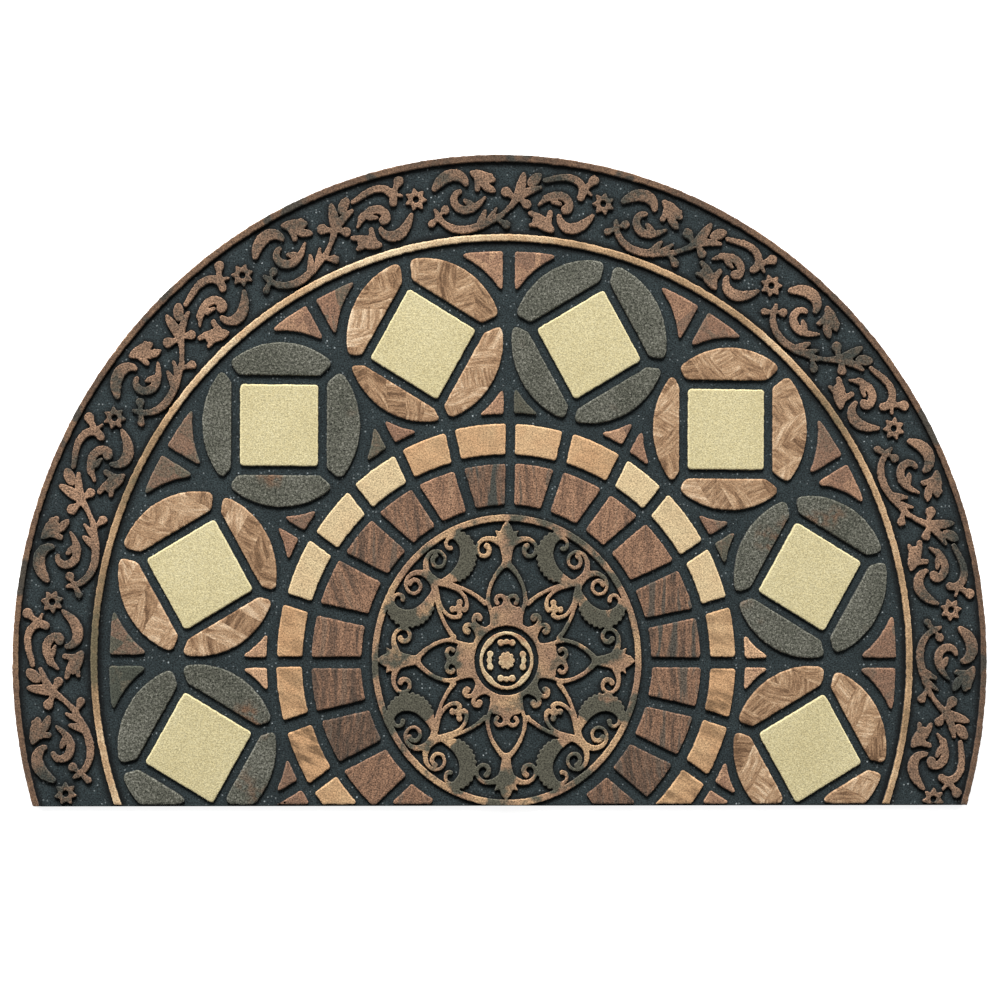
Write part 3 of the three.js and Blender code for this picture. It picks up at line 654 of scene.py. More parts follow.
def marquetry_print(place):
    """Veneer: the petal is cut across into patches, each patch's grain leans its own way, by turns
    to one hand and the other, and the grain is noise that is long along the lean and short across
    it, with broader bands under it."""
    lay = place.stored("lay", "Vector")
    along, across, seed = (lay.part(axis) for axis in range(3))
    cut = along + 0.5 * across + PATCH_WOBBLE * (place.noise(30) - 0.5)
    patch = place.math("FLOOR", cut * (1 / PATCH_LENGTH) + seed * 0.37)
    key = place.joined(patch, seed, 3.0)
    drawn = place.node("TexWhiteNoise", None, {"Vector": key}, "Value")
    shade = place.node("TexWhiteNoise", None, {"Vector": key.stretched((1.0, 2.0, 5.0))}, "Value")
    hand = place.math("FRACT", patch * 0.5)
    lean = 3.0 * (hand - 0.25) + 0.7 * (drawn - 0.5)
    cosine, sine = place.math("COSINE", lean), place.math("SINE", lean)
    along_grain = along * cosine + across * sine
    bowed = across * cosine - along * sine + VENEER_BOW * along_grain * along_grain
    fine = place.joined(along_grain * 70, bowed * 430, seed + patch * 7).noise(1.0, 2.0, 0.6)
    broad = place.joined(along_grain * 16, bowed * 130, seed + patch * 5).noise(1.0, 1.0)
    streak = 0.55 * fine + 0.45 * broad + 0.17 * (shade - 0.5)
    return streak.clamped(0.35, 0.65).ramp([
        (0.0, (114, 86, 62)), (0.22, (152, 118, 88)), (0.5, (180, 145, 111)),
        (0.8, (206, 173, 138)), (1.0, (228, 199, 165)),
    ])


def charcoal_print(place):
    """Charcoal with an olive cast, and a brown stain here and there."""
    stain = place.noise(11, 2.0).clamped(0.62, 0.7) * place.noise(120).clamped(0.4, 0.6)
    cloud = place.noise(24, 3.0) - 0.5
    tone = (place.noise(420, 2.0, 0.7) + 0.35 * cloud).clamped(0.33, 0.67)
    stone = tone.ramp([(0.0, (68, 70, 60)), (0.5, (96, 96, 85)), (1.0, (128, 127, 116))])
    return stone.mixed((118, 92, 72), stain)


petal_groups, petal_outlines = [], []
for kind, first_round, paint, grain in (
    ("marquetry", 0, marquetry_print, 2.2),
    ("charcoal", 1, charcoal_print, 4.4),
):
    outlines, directions = [], []
    for degrees in ROUND_ANGLES[first_round::2]:
        for turn in PETAL_TURNS:
            made = petal(degrees, turn)
            outlines += made
            directions += [degrees + turn + 90] * len(made)
    lay = laid(outlines, directions, range(len(outlines)))
    petals = relief(kind + "_petals", outlines, tile_profile, {"lay": lay})
    coated(petals, flocked(kind + "_flock", paint, grain))
    petal_groups.append(petals)
    petal_outlines += outlines

# The spandrels: three-sided tiles in pairs where two rounds meet, large ones outside and small
# ones inside, moulded with the slab. Their print runs from copper to charcoal, each at its own tone.
HALF_SPACING = ROUND_SPACING / 2
# The radius of the hollow sides, large and small, half the channel between two spandrels, how far
# their corners are rounded, and the small ones' base.
SPANDREL_ARC = 84
SMALL_SPANDREL_ARC = 81.5
SPANDREL_CHANNEL = 4.6
SPANDREL_ROUNDING = 3.3
SMALL_SPANDREL_INNER = ROUNDS_INNER - 3.5
# A channel's four tiles: hand, 1 or -1 for the side of the channel, and whether it's a large one.
SPANDREL_PLACES = [(1, True), (-1, True), (1, False), (-1, False)]
# Each channel's angle, and its tiles' tones: 0 light tan, 0.5 copper, 1 charcoal.
SPANDREL_TONES = [
    (-30, 0.5, 0.5, 0.4, 0.4), (0, 0.56, 0.5, 0.08, 0.2), (30, 0.62, 0.5, 0.55, 0.72),
    (60, 0.47, 0.58, 0.42, 0.46), (90, 0.32, 0.4, 0.42, 0.97), (120, 0.42, 0.6, 0.85, 0.5),
    (150, 0.78, 0.72, 0.52, 0.58), (180, 0.97, 0.8, 0.2, 0.16), (210, 0.6, 0.6, 0.5, 0.5),
]
# How far each of a channel's four tiles sits off its even place, across and up.
SPANDREL_SHIFTS = [
    [(0, 0), (0, 0), (2.5, -2.5), (3, -1)], [(1, -1), (0.5, 0), (3.5, -1.5), (3.5, 0)],
    [(0.5, -1), (0.5, -0.5), (2, -0.5), (1.5, 0.5)], [(0.5, -1), (1, -1.5), (1.5, 1.5), (0, 0)],
    [(0.5, -1), (2, -1), (1.5, 1), (1.5, 2)], [(0.5, 0), (1, 0), (2.5, 1.5), (2, 1.5)],
    [(1, 2.5), (1, 2), (0.5, 2.5), (0.5, 1.5)], [(0, 0), (0.5, 0), (-1.5, -1.5), (-2, -2)],
    [(0, 0), (0, 0), (-1.5, -0.5), (0, 0)],
]
COPPER_PRINT = [
    (0.0, (208, 168, 131)), (0.25, (180, 142, 112)), (0.45, (146, 111, 89)),
    (0.62, (128, 102, 84)), (0.8, (96, 92, 78)), (1.0, (75, 78, 68)),
]


def spandrel(degrees, hand, outer, shift):
    """A spandrel's sides: a hollow one along the wider circle about the neighbouring round, one
    along the channel, and the base on the ring of rounds. The hollow side's corners are where that
    circle meets the base, by the law of cosines, and the channel's side, by the theorem of
    Pythagoras."""
    across = ROUNDS_OUTER if outer else SMALL_SPANDREL_INNER
    arc = SPANDREL_ARC if outer else SMALL_SPANDREL_ARC
    aside = ROUND_CENTRE * np.sin(np.radians(HALF_SPACING))
    rise = np.sqrt(arc ** 2 - (aside - SPANDREL_CHANNEL) ** 2)
    tip_out = ROUND_CENTRE * np.cos(np.radians(HALF_SPACING)) + (rise if outer else -rise)
    tip_angle = degrees + hand * np.degrees(np.arctan2(SPANDREL_CHANNEL, tip_out))
    tip = oval(np.hypot(tip_out, SPANDREL_CHANNEL), tip_angle)
    cosine = (ROUND_CENTRE ** 2 + across ** 2 - arc ** 2) / (2 * ROUND_CENTRE * across)
    round_angle = degrees + HALF_SPACING * hand
    corner_angle = round_angle - hand * np.degrees(np.arccos(cosine))
    base_corner = oval(across, corner_angle)
    channel_out = np.sqrt(across ** 2 - SPANDREL_CHANNEL ** 2)
    channel_angle = degrees + hand * np.degrees(np.arctan2(SPANDREL_CHANNEL, channel_out))
    base = oval(across, np.linspace(channel_angle, corner_angle, 24))
    centre = oval(ROUND_CENTRE, round_angle)
    turns = [
        np.arctan2((point[1] - centre[1]) / ROUND_STRETCH, point[0] - centre[0])
        for point in (base_corner, tip)
    ]
    sweep = (turns[1] - turns[0] + np.pi) % (2 * np.pi) - np.pi
    turn = turns[0] + sweep * np.linspace(0, 1, 24)
    hollow = centre + arc * np.stack([np.cos(turn), ROUND_STRETCH * np.sin(turn)], 1)
    hollow[0], hollow[-1] = base_corner, tip
    seed = int(degrees) * 5 + hand + 3 * outer + 3000
    sides = [hollow, np.array([tip, base[0]]), base]
    return tile([side + shift for side in sides], SPANDREL_ROUNDING, seed)


def spandrel_print(place):
    """The tile's own tone, moved towards charcoal or tan by patches, through the copper print."""
    cells = place.node("TexVoronoi", None, {"Vector": place, "Scale": 52, "Randomness": 1.0}, "Color")
    patch = cells.part(0) - 0.5
    fine = place.noise(300, 2.0, 0.6) - 0.5
    return (place.stored("tone") + 0.3 * patch + 0.35 * fine).ramp(COPPER_PRINT)


spandrel_outlines, tones = [], []
for (degrees, *row), shifts in zip(SPANDREL_TONES, SPANDREL_SHIFTS):
    for tone, shift, (hand, outer) in zip(row, shifts, SPANDREL_PLACES):
        made = spandrel(degrees, hand, outer, shift)
        spandrel_outlines += made
        tones += [np.full(len(outline), tone) for outline in made]
spandrels = relief("spandrels", spandrel_outlines, tile_profile, {"tone": np.concatenate(tones)})
coated(spandrels, flocked("spandrel_flock", spandrel_print, 3.6))

# The bricks: two rings round the medallion, moulded with the slab. The outer one is printed tan to
# cream and smudged, the inner one as reddish-brown wood with dark streaks that run up the mat.
BRICK_GAP = 9.2
BRICK_ROUNDING = 3.4
WOOD_WAVER = 0.004
FIRST_GRAIN = 20
# The angle of the first joint, and each brick's far joint; how cream the tan one is and how
# smudged; how dark the brown one is, how streaked, and how far its grain leans from straight up.
FIRST_JOINT = -60
BRICKS = [
    (-45.6, 0.0, 0.5, 0.6, 0.6, 0), (-30.4, 0.1, 0.9, 0.75, 0.6, 8), (-15.3, 0.1, 0.7, 0.4, 0.7, -4),
    (-0.7, 0.0, 1.0, 0.35, 0.8, 3), (14.2, 0.25, 0.6, 0.45, 0.9, -3), (29.3, 0.9, 0.1, 0.45, 0.8, 0),
    (46.0, 0.9, 0.15, 0.25, 0.15, 5), (59.1, 1.0, 0.0, 0.2, 0.1, 0), (74.4, 0.2, 0.3, 0.25, 0.2, -6),
    (89.0, 0.3, 0.05, 0.25, 0.6, 2), (104.5, 0.15, 0.2, 0.6, 1.0, 0), (118.6, 0.15, 0.3, 0.15, 0.1, 4),
    (133.3, 1.0, 0.1, 0.45, 0.5, 8), (148.4, 0.9, 0.1, 0.5, 0.6, -4), (165.0, 0.9, 0.1, 0.35, 0.3, 20),
    (180.3, 0.1, 0.5, 0.4, 0.35, -3), (196.0, 0.1, 0.6, 0.65, 0.4, 4), (212.0, -0.1, 1.6, 0.85, 0.6, -8),
    (228.6, 0.2, 0.3, 0.35, 0.5, -25), (243.0, 0.2, 0.3, 0.4, 0.5, 0),
]
# How far each brick sits out of its even place, outwards and anticlockwise: the tan, the brown.
BRICK_SHIFTS = [
    (3, 3, 2, 2), (2.5, 3.5, 0.5, 2), (2, 2.5, 0.5, 2), (1.5, 1.5, 1, 2), (1.5, 2, 0.5, 1),
    (1, 2, 0, 0), (0.5, 1.5, 0.5, 0), (0.5, 1.5, 0, 0.5), (1, 1, 0.5, 1), (0.5, 1, 0.5, 0.5),
    (0.5, 0, 0, -0.5), (-0.5, -0.5, -0.5, -0.5), (-1.5, -1, -1, -2), (-2, -1, -1.5, -1.5),
    (-1, -1, -0.5, -1.5), (-0.5, 0, -0.5, 0.5), (0, -0.5, 0, 1), (0, 1.5, -1, 1), (0, 1, 0, 0.5),
    (0, 0, 2, -1),
]


def brick(inner, outer, start, end, shift, seed):
    """A brick's sides: its outer arc, a joint, its inner arc and the other joint, all moved by the
    brick's shift outwards and anticlockwise."""
    ease_out, ease_in = (np.degrees(BRICK_GAP / 2 / across) for across in (outer, inner))
    outside = oval(outer, np.linspace(start + ease_out, end - ease_out, 30))
    inside = oval(inner, np.linspace(end - ease_in, start + ease_in, 30))
    outside, inside = (side + turned(*shift, (start + end) / 2) for side in (outside, inside))
    sides = [outside, [outside[-1], inside[0]], inside, [inside[-1], outside[0]]]
    return tile(sides, BRICK_ROUNDING, seed)


def tan_brick_print(place):
    """From orange-tan to cream by the brick's own tone, under slanting brown smudges."""
    marks = place.stored("marks", "Vector")
    tone = marks.part(0) + 0.7 * (place.noise(60, 2.0) - 0.5)
    clay = tone.ramp([(0.0, (207, 163, 120)), (1.0, (224, 200, 156))])
    slant = place.node("VectorRotate", {"rotation_type": "Z_AXIS"}, {"Vector": place, "Angle": 0.5})
    cloud = slant.stretched((35.0, 110.0, 30.0)).noise(1.0, 3.0, 0.6)
    return clay.mixed((138, 108, 78), (cloud.clamped(0.42, 0.62) * marks.part(1) * 0.95).clamped())


def brown_brick_print(place):
    """Wood: grain noise that is long along the brick's own lean and short across it. Its darkest
    waves are charcoal streaks, more of them where the brick is streaked."""
    lay, marks = place.stored("lay", "Vector"), place.stored("marks", "Vector")
    along, across, seed = (lay.part(axis) for axis in range(3))
    dark, streaked = marks.part(0), marks.part(1)
    bowed = across + WOOD_WAVER * place.noise(22)
    fine = place.joined(along * 70, bowed * 400, seed).noise(1.0, 2.0, 0.6)
    band = place.joined(along * 9, bowed * 95, seed + 9).noise(1.0, 2.0, 0.5)
    wood = (0.9 * (fine - 0.5) + 1.4 * (band - 0.5) + 0.67 - 0.5 * dark).clamped().ramp([
        (0.0, (76, 66, 57)), (0.25, (106, 84, 69)), (0.5, (144, 110, 87)),
        (0.75, (165, 127, 100)), (1.0, (188, 146, 114)),
    ])
    charring = (band + 0.11 * streaked).clamped(0.6, 0.68) * (0.2 + 0.8 * streaked)
    return wood.mixed((74, 75, 69), charring)


tan_outlines, brown_outlines, tan_marks, brown_marks, leans = [], [], [], [], []
start = FIRST_JOINT
for index, (end, cream, smudge, dark, streaked, lean) in enumerate(BRICKS):
    shifts = BRICK_SHIFTS[index]
    for outline in brick(TAN_INNER, TAN_OUTER, start, end, shifts[:2], 4000 + index):
        tan_outlines.append(outline)
        tan_marks.append(np.tile([cream, smudge, 0.0], (len(outline), 1)))
    for outline in brick(BROWN_INNER, BROWN_OUTER, start, end, shifts[2:], 5000 + index):
        brown_outlines.append(outline)
        brown_marks.append(np.tile([dark, streaked, 0.0], (len(outline), 1)))
        leans.append(90 + lean)
    start = end
tan_bricks = relief("tan_bricks", tan_outlines, tile_profile, {"marks": np.vstack(tan_marks)})
coated(tan_bricks, flocked("tan_brick_flock", tan_brick_print, 2.4))
brown_values = {
    "lay": laid(brown_outlines, leans, range(FIRST_GRAIN, FIRST_GRAIN + len(leans))),
    "marks": np.vstack(brown_marks),
}
brown_bricks = relief("brown_bricks", brown_outlines, tile_profile, brown_values)
coated(brown_bricks, flocked("brown_brick_flock", brown_brick_print, 4.3))

# The border: nine repeats of scrollwork, each of strokes that grow into each other, and a small
# pierced star at each end of every repeat, all moulded with the slab and printed copper.
# The oval along the border's middle, the angle from star to star, and where the first star is.
BORDER_MIDDLE = 420
BORDER_PITCH = 23.68
FIRST_STAR = 196.1
BORDER_REPEATS = 9
# How far each repeat, and each star, sits off its even place: clockwise along the border, and out.
REPEAT_SHIFTS = [
    (-3.6, 1.1), (-2.6, -0.2), (-3.2, -0.4), (-1.6, -0.2), (-0.4, -0.9), (0.6, -0.6), (0.9, -0.4),
    (1.6, 0.6), (1.9, 0.6),
]
STAR_SHIFTS = [
    (-1.2, 0), (-4, -1.2), (-4, -1.6), (-3.7, -0.7), (-2.2, -0.7), (-0.5, -1), (0.7, -1.5),
    (1, -0.7), (1.2, 0), (0.7, -0.5),
]
# Steps of an outline and of the grid it is drawn on, and how far a crotch is filled in.
SCROLL_STEP = 0.85
DRAWING_STEP = 0.45
FILLET = 1.1
# The distance an empty drawing starts with, and how far from a stroke its own is worked out.
FAR = 1000.0
WINDOW = 7.0
STROKE_LINKS = 48
SCROLL_EASE = 0.9
# A stroke: where it starts, the heading it sets off in (degrees), its length, how far it turns and
# how unevenly (0 an even arc, 1 tightest at the end, -1 at the start), and its width at the start,
# the middle and the end.
BORDER_STROKES = [
    ("outer comma", 16.7, 11.8, 50, 37.4, -135, 0.8, 5.5, 11.5, 5),
    ("comma belly", 33.5, 23.6, 4, 7.5, -45, 0, 7, 8, 7),
    ("inner comma", 134.2, -13.6, -86, 43.1, 144, -0.9, 5, 10.5, 4),
    ("long stem", 15.3, -9.9, -79, 72.7, 101, -1.25, 5, 7.5, 5),
    ("stem end lobe", 17.5, -13.6, -149, 10.6, 0, 0, 4, 5, 7),
    ("stem end curl", 17, -13, 35, 8.3, 0, 0, 4, 4, 8.5),
    ("stem lobe", 15.7, -12.7, 105, 5.4, 0, 0, 4, 4, 4),
    ("curl bump", 49.5, -5.8, 147, 7.6, 0, 0, 6, 6, 3.5),
    ("first leaflet", 56.8, -24.3, 67, 13.1, 0, 0, 9, 7, 3.5),
    ("second leaflet", 66.8, -19.5, 57, 11, 0, 0, 7, 5, 3),
    ("stem bud", 71.2, -19.1, -27, 12.6, 0, 0, 4, 4.5, 8.5),
    ("branch", 72.5, -19.1, 29, 29.5, 29, 0, 5, 5, 8),
    ("upright petal", 93.3, 0.3, 74, 22, 7, 0, 7, 9, 4),
    ("loose petal", 103.7, 12.2, 48, 13.6, 0, 0, 4, 10, 3),
    ("low petal", 94.5, 1.2, 32, 21.3, -13, 0, 8, 7, 4),
    ("left bud", 91.7, -1, 148, 11, 0, 0, 6, 5.5, 10),
    ("right bud", 93, 0.3, -34, 11, 0, 0, 6, 5.5, 9),
    ("outer arm", 117.5, 17.5, 12, 47, -135, 1.5, 5, 7, 7.5),
    ("arm lobe", 154.9, 15.4, 55, 10.8, 0, 0, 6.4, 5.6, 9.4),
    ("arm spur", 153, 14.5, -26, 9, 0, 0, 5, 4, 3),
    ("curl crest", 119, 1, 25, 6, -20, 0, 6, 7, 6.4),
    ("curl crest end", 127, -0.5, -18, 7, 0, 0, 6, 5, 3.6),
    ("curl ball", 140.3, -6.9, 180, 1, 0, 0, 8.8, 8.8, 8.8),
    ("leaf tooth", 64, 16.5, 40, 6, 0, 0, 5, 4.6, 4),
    ("first leaf side", 61.8, 10.7, -28, 11.4, 0, 0, 5.6, 7.8, 2.6),
    ("foot leaf side", 121, -18.6, 161, 16, 0, 0, 5, 6.4, 4.8),
    ("foot leaf under", 114, -22.9, 190, 7.5, 0, 0, 5, 5, 4),
]
# Strokes drawn twice: the place about which the second one is turned half round, and how many of
# its first links are left out, where a ball stands instead.
BORDER_PAIRS = [
    (("leaf blade", 51.7, 23.4, -29, 20.2, 14, 0, 4, 11, 5), (90.5, -2), 0),
    (("leaf foot", 57.6, 19, -99, 11.4, 0, 0, 9, 6.5, 5.5), (90.5, -2), 0),
    (("curl", 39.2, 6.6, -173, 48.3, 219, -0.95, 5, 8.2, 3), (88, -2.7), 9),
]
# How much is trimmed off all round the drawn strokes, and the least area of a form.
BORDER_TRIM = 0.3
LEAST_FORM = 4
# A star's middle out from the border's, its points' and notches' reach, and its hole's.
STAR_POINTS = 7
STAR_OUT, STAR_TIP, STAR_NOTCH, STAR_HOLE = 5.2, 11.4, 6.6, 3
STAR_ROUNDING = 1.3
STAR_LOWEST = STRAIGHT_EDGE + EDGE_MARGIN + 0.1


def spine_of(stroke):
    """A stroke's middle line and its half width at each point. The heading is the first one plus
    the turn times (s + tighten (s squared - s)) at the share s of the length, the line is the sum
    of steps along it, and the width is the parabola through its three values."""
    _, x, y, heading, length, turn, tighten, first, middle, last = stroke
    s = np.linspace(0, 1, STROKE_LINKS + 1)
    mid = (s[1:] + s[:-1]) / 2
    way = np.radians(heading + turn * (mid + tighten * (mid ** 2 - mid)))
    steps = np.stack([np.cos(way), np.sin(way)], 1) * length / STROKE_LINKS
    line = np.vstack([[0, 0], np.cumsum(steps, 0)]) + (x, y)
    width = first * (1 - s) * (1 - 2 * s) + middle * 4 * s * (1 - s) + last * s * (2 * s - 1)
    return line, width / 2


def smooth_least(a, b, reach):
    """The smaller of two distances, less the square of the share by which they come within a reach
    of each other, times a quarter of the reach."""
    blend = np.maximum(reach - np.abs(a - b), 0) / reach
    return np.minimum(a, b) - blend ** 2 * reach / 4


def nearest_on(px, py, start, end):
    """The share along a link at which it comes nearest to each place, which is the dot product of
    the way there and the link's way over its length squared, and the distance to that point."""
    way = end - start
    share = ((px - start[0]) * way[0] + (py - start[1]) * way[1]) / (way @ way)
    share = np.clip(share, 0, 1)
    return share, np.hypot(px - start[0] - share * way[0], py - start[1] - share * way[1])


def draw_line(field, x, y, line, half):
    """Lowers a field of distances to that of a tapering line: from each of its links, the distance
    to the link's nearest point less the half width there. Only the cells near it are worked out."""
    reach = half.max() + WINDOW
    columns = slice(*np.searchsorted(x, [line[:, 0].min() - reach, line[:, 0].max() + reach]))
    rows = slice(*np.searchsorted(y, [line[:, 1].min() - reach, line[:, 1].max() + reach]))
    px, py = np.meshgrid(x[columns], y[rows])
    nearest = np.full(px.shape, FAR)
    for start, end, r0, r1 in zip(line[:-1], line[1:], half[:-1], half[1:]):
        share, gap = nearest_on(px, py, start, end)
        nearest = np.minimum(nearest, gap - r0 - share * (r1 - r0))
    field[rows, columns] = smooth_least(field[rows, columns], nearest, FILLET)


def loops_of(links):
    """Splits links, the index that follows each index, into loops in order. Each index finds its
    loop's least index, and then its number of steps to it, by jumping twice as far every time."""
    count = len(links)
    least, jump = np.arange(count), links.copy()
    rounds = int(np.ceil(np.log2(count))) + 1
    for _ in range(rounds):
        least = np.minimum(least, least[jump])
        jump = jump[jump]
    ends = links == least
    steps = np.where(ends, 0, 1)
    jump = np.where(ends, np.arange(count), links)
    for _ in range(rounds):
        steps = steps + steps[jump]
        jump = jump[jump]
    order = np.lexsort((-steps, least))
    breaks = np.flatnonzero(np.diff(least[order])) + 1
    return np.split(order, breaks)


def outlines_of(field, x, y, least_area):
    """The closed outlines where a field crosses zero, its negative side on their left. Each side
    of a cell that changes sign holds a point, and each cell links the point where its inside ends,
    going anticlockwise, back to the point where that inside began."""
    inside = field < 0
    flat = inside[:, 1:] != inside[:, :-1]
    upright = inside[1:] != inside[:-1]
    numbers_flat = np.where(flat, np.cumsum(flat).reshape(flat.shape) - 1, -1)
    numbers_upright = np.where(upright, np.cumsum(upright).reshape(upright.shape) - 1 + flat.sum(), -1)
    j, i = np.nonzero(flat)
    share = field[j, i] / (field[j, i] - field[j, i + 1])
    on_flat = np.stack([x[i] + share * (x[i + 1] - x[i]), y[j]], 1)
    j, i = np.nonzero(upright)
    share = field[j, i] / (field[j, i] - field[j + 1, i])
    on_upright = np.stack([x[i], y[j] + share * (y[j + 1] - y[j])], 1)
    points = np.vstack([on_flat, on_upright])
    corners = [inside[:-1, :-1], inside[:-1, 1:], inside[1:, 1:], inside[1:, :-1]]
    numbers = [numbers_flat[:-1], numbers_upright[:, 1:], numbers_flat[1:], numbers_upright[:, :-1]]
    leaves = [corners[k] & ~corners[(k + 1) % 4] for k in range(4)]
    enters = [~corners[k] & corners[(k + 1) % 4] for k in range(4)]
    middle = field[:-1, :-1] + field[:-1, 1:] + field[1:, 1:] + field[1:, :-1]
    crossed = (corners[0] == corners[2]) & (corners[1] == corners[3]) & (corners[0] != corners[1])
    links = np.full(len(points), -1)
    for k in range(4):
        partner = np.full(middle.shape, -1)
        for back in (3, 2, 1):
            partner = np.where(enters[(k - back) % 4], numbers[(k - back) % 4], partner)
        partner = np.where(crossed & (middle < 0), numbers[(k + 1) % 4], partner)
        links[numbers[k][leaves[k]]] = partner[leaves[k]]
    found = [points[loop] for loop in loops_of(links)]
    return [resampled(loop, SCROLL_STEP) for loop in found if abs(area_of(loop)) > least_area]


def on_border(place, star):
    """A place along and out from the border's middle, clockwise from a star, as a place on the mat."""
    return oval(BORDER_MIDDLE + place[:, 1], star - np.degrees(place[:, 0] / BORDER_MIDDLE))


# One repeat is drawn on a grid along and across the border, and then laid out round it.
border_x = np.arange(-2, 180, DRAWING_STEP)
border_y = np.arange(-33, 33, DRAWING_STEP)
border_field = np.full((len(border_y), len(border_x)), FAR)
for stroke in BORDER_STROKES:
    draw_line(border_field, border_x, border_y, *spine_of(stroke))
for stroke, middle, skipped in BORDER_PAIRS:
    line, half = spine_of(stroke)
    second = 2 * np.array(middle) - line
    draw_line(border_field, border_x, border_y, line, half)
    draw_line(border_field, border_x, border_y, second[skipped:], half[skipped:])
one_repeat = outlines_of(border_field + BORDER_TRIM, border_x, border_y, LEAST_FORM)

scroll_outlines, star_outlines = [], []
# A star's tips and notches by turns, and its hole, about its place on the border.
star_turns = np.pi * np.arange(2 * STAR_POINTS + 1) / STAR_POINTS
star_reach = np.where(np.arange(len(star_turns)) % 2, STAR_NOTCH, STAR_TIP)
star_tips = np.stack([star_reach * np.sin(star_turns), STAR_OUT + star_reach * np.cos(star_turns)], 1)
hole_turns = np.linspace(0, 2 * np.pi, 24, endpoint=False)
star_hole = STAR_HOLE * np.stack([np.sin(hole_turns), np.cos(hole_turns)], 1) + (0, STAR_OUT)
for repeat in range(BORDER_REPEATS + 1):
    star = FIRST_STAR - repeat * BORDER_PITCH
    if repeat < BORDER_REPEATS:
        scroll_outlines += [
            ragged(on_border(loop + REPEAT_SHIFTS[repeat], star), 6000 + 100 * repeat + i)
            for i, loop in enumerate(one_repeat)
        ]
    tips = on_border(star_tips + STAR_SHIFTS[repeat], star)
    tips[:, 1] = np.maximum(tips[:, 1], STAR_LOWEST)
    sides = [tips[i:i + 2] for i in range(2 * STAR_POINTS)]
    star_outlines += tile(sides, STAR_ROUNDING, 7000 + repeat)
    star_outlines.append(on_border(star_hole + STAR_SHIFTS[repeat], star))


def scroll_print(place):
    """Copper, with grey-green smudges in patches a few centimetres wide."""
    patch = place.noise(20, 3.0, 0.55)
    fine = place.noise(280, 2.0, 0.6) - 0.5
    return (0.3 * fine + patch).clamped(0.32, 0.68).ramp([
        (0.0, (164, 130, 104)), (0.3, (142, 113, 91)), (0.55, (121, 98, 80)),
        (0.76, (90, 81, 69)), (1.0, (64, 66, 60)),
    ])


scroll_profile = [(-0.35, WEB - 1), *rounded_edge(SCROLL_EASE)]
scrolls = relief("border_scrolls", scroll_outlines, scroll_profile)
stars = relief("border_stars", star_outlines, scroll_profile)
scroll_flock = flocked("scroll_flock", scroll_print, 4.5)
coated(scrolls, scroll_flock)
coated(stars, scroll_flock)

# The medallion: a raised ring, and inside it eight arms that grow from a pierced hub, moulded with
# the slab and printed tan, copper and grey-green.
# Each arm's strokes are drawn pointing up, on its right side, and mirrored. Four arms lie on the
# axes and four between them.
AXIS_STROKES = [
    ("finial volute", 7.9, 103, 27, 47.4, -362, 0.8, 6.5, 3.6, 5.6),
    ("arch strand", 1.9, 83.4, -42, 37.5, -50, 0.3, 5.4, 3.8, 4.4),
    ("hub bud", 0.6, 46, 98, 22.5, -250, 0.8, 4.6, 4, 4.2),
    ("hub tie", 18, 51.5, -112, 19, 4, 0, 4.4, 4, 7),
]
ACANTHUS = ("acanthus", -6.8, 91.6, -141, 60.5, -174, 0.44, 2.6, 15.5, 5)
DIAGONAL_STROKES = [
    ("big volute", 0.3, 98.2, 92, 69, 472, 0.76, 8, 3.4, 5),
    ("ogee strand", -0.3, 98.4, -123, 54.1, 32, 1, 5.5, 3.6, 4.5),
    ("inner strand", -1.1, 98.2, -73, 45.2, -83.2, 2.3, 4, 3.4, 4.2),
    ("hub volute", -2.6, 32.6, 102, 24, 213, 1.95, 6, 4, 6.2),
    ACANTHUS,
    ("acanthus curl", -43.4, 106.2, 62, 22.8, -212, 0.87, 5, 3.4, 4.6),
]
# The teeth of the acanthus: their number, their size, where along it they start and end, and how
# far their middles are sunk into its side.
ACANTHUS_TEETH, TOOTH_REACH = 12, 2.2
FIRST_TOOTH, LAST_TOOTH, TOOTH_SINK = 0.24, 0.93, 0.9
# The links of the acanthus whose leaf is printed grey-green, between its foot and its tip.
LEAF_BODY = slice(15, 40)
# The finial, and the hub's points on the axes and between them: distances out, and half widths.
FINIAL = [
    (80, 2), (84, 4), (90, 4.8), (96, 6.2), (101, 8.4), (105, 9.8), (109, 9.6), (113, 11.6), (112, 6.4),
    (116.5, 4.4), (121, 0.6),
]
HUB_POINT = [(31.5, 15.5), (38, 15), (46.5, 13), (47, 8.5), (48.5, 5), (52, 3), (56, 1.4)]
HUB_SPUR = [(31.5, 9), (36, 5.5), (39.5, 2.5), (43, 0.6)]
# The trefoil's balls: sideways, out along the arm, and radius.
TREFOIL = [(0, 63.4, 3.8), (4.4, 67, 3), (-4.4, 66.6, 3), (-3, 59, 2.6), (3, 59, 2.6)]
HUB_HOLE, HUB_OUTER = 30, 35
# The ring sits this far off the arms' centre, which sits this far above the design's. All of it is
# drawn round, and stretched up as the ring is.
RING_SHIFT = (0.6, 0.1)
MEDALLION_RISE = 0.7
MEDALLION_STRETCH = 130.3 / 120.5
MEDALLION_TRIM = 0.25
MEDALLION_RAGGED = 0.12
LEAST_MEDALLION_FORM = 3
MEDALLION_LOWEST = STRAIGHT_EDGE + 0.5
QUADRANT = MEDALLION_OUTER + 3


def draw_solid(field, x, y, outline):
    """Lowers a field of distances to that of a closed outline: the distance to its nearest side,
    negative where an odd number of its sides lies to the left."""
    px, py = np.meshgrid(x, y)
    nearest = np.full(px.shape, FAR)
    within = np.zeros(px.shape, bool)
    for start, end in zip(outline, np.roll(outline, -1, 0)):
        nearest = np.minimum(nearest, nearest_on(px, py, start, end)[1])
        spans = (start[1] > py) != (end[1] > py)
        if start[1] != end[1]:
            share = (py - start[1]) / (end[1] - start[1])
            within ^= spans & (px < start[0] + share * (end[0] - start[0]))
    field[:] = smooth_least(field, np.where(within, -nearest, nearest), FILLET)


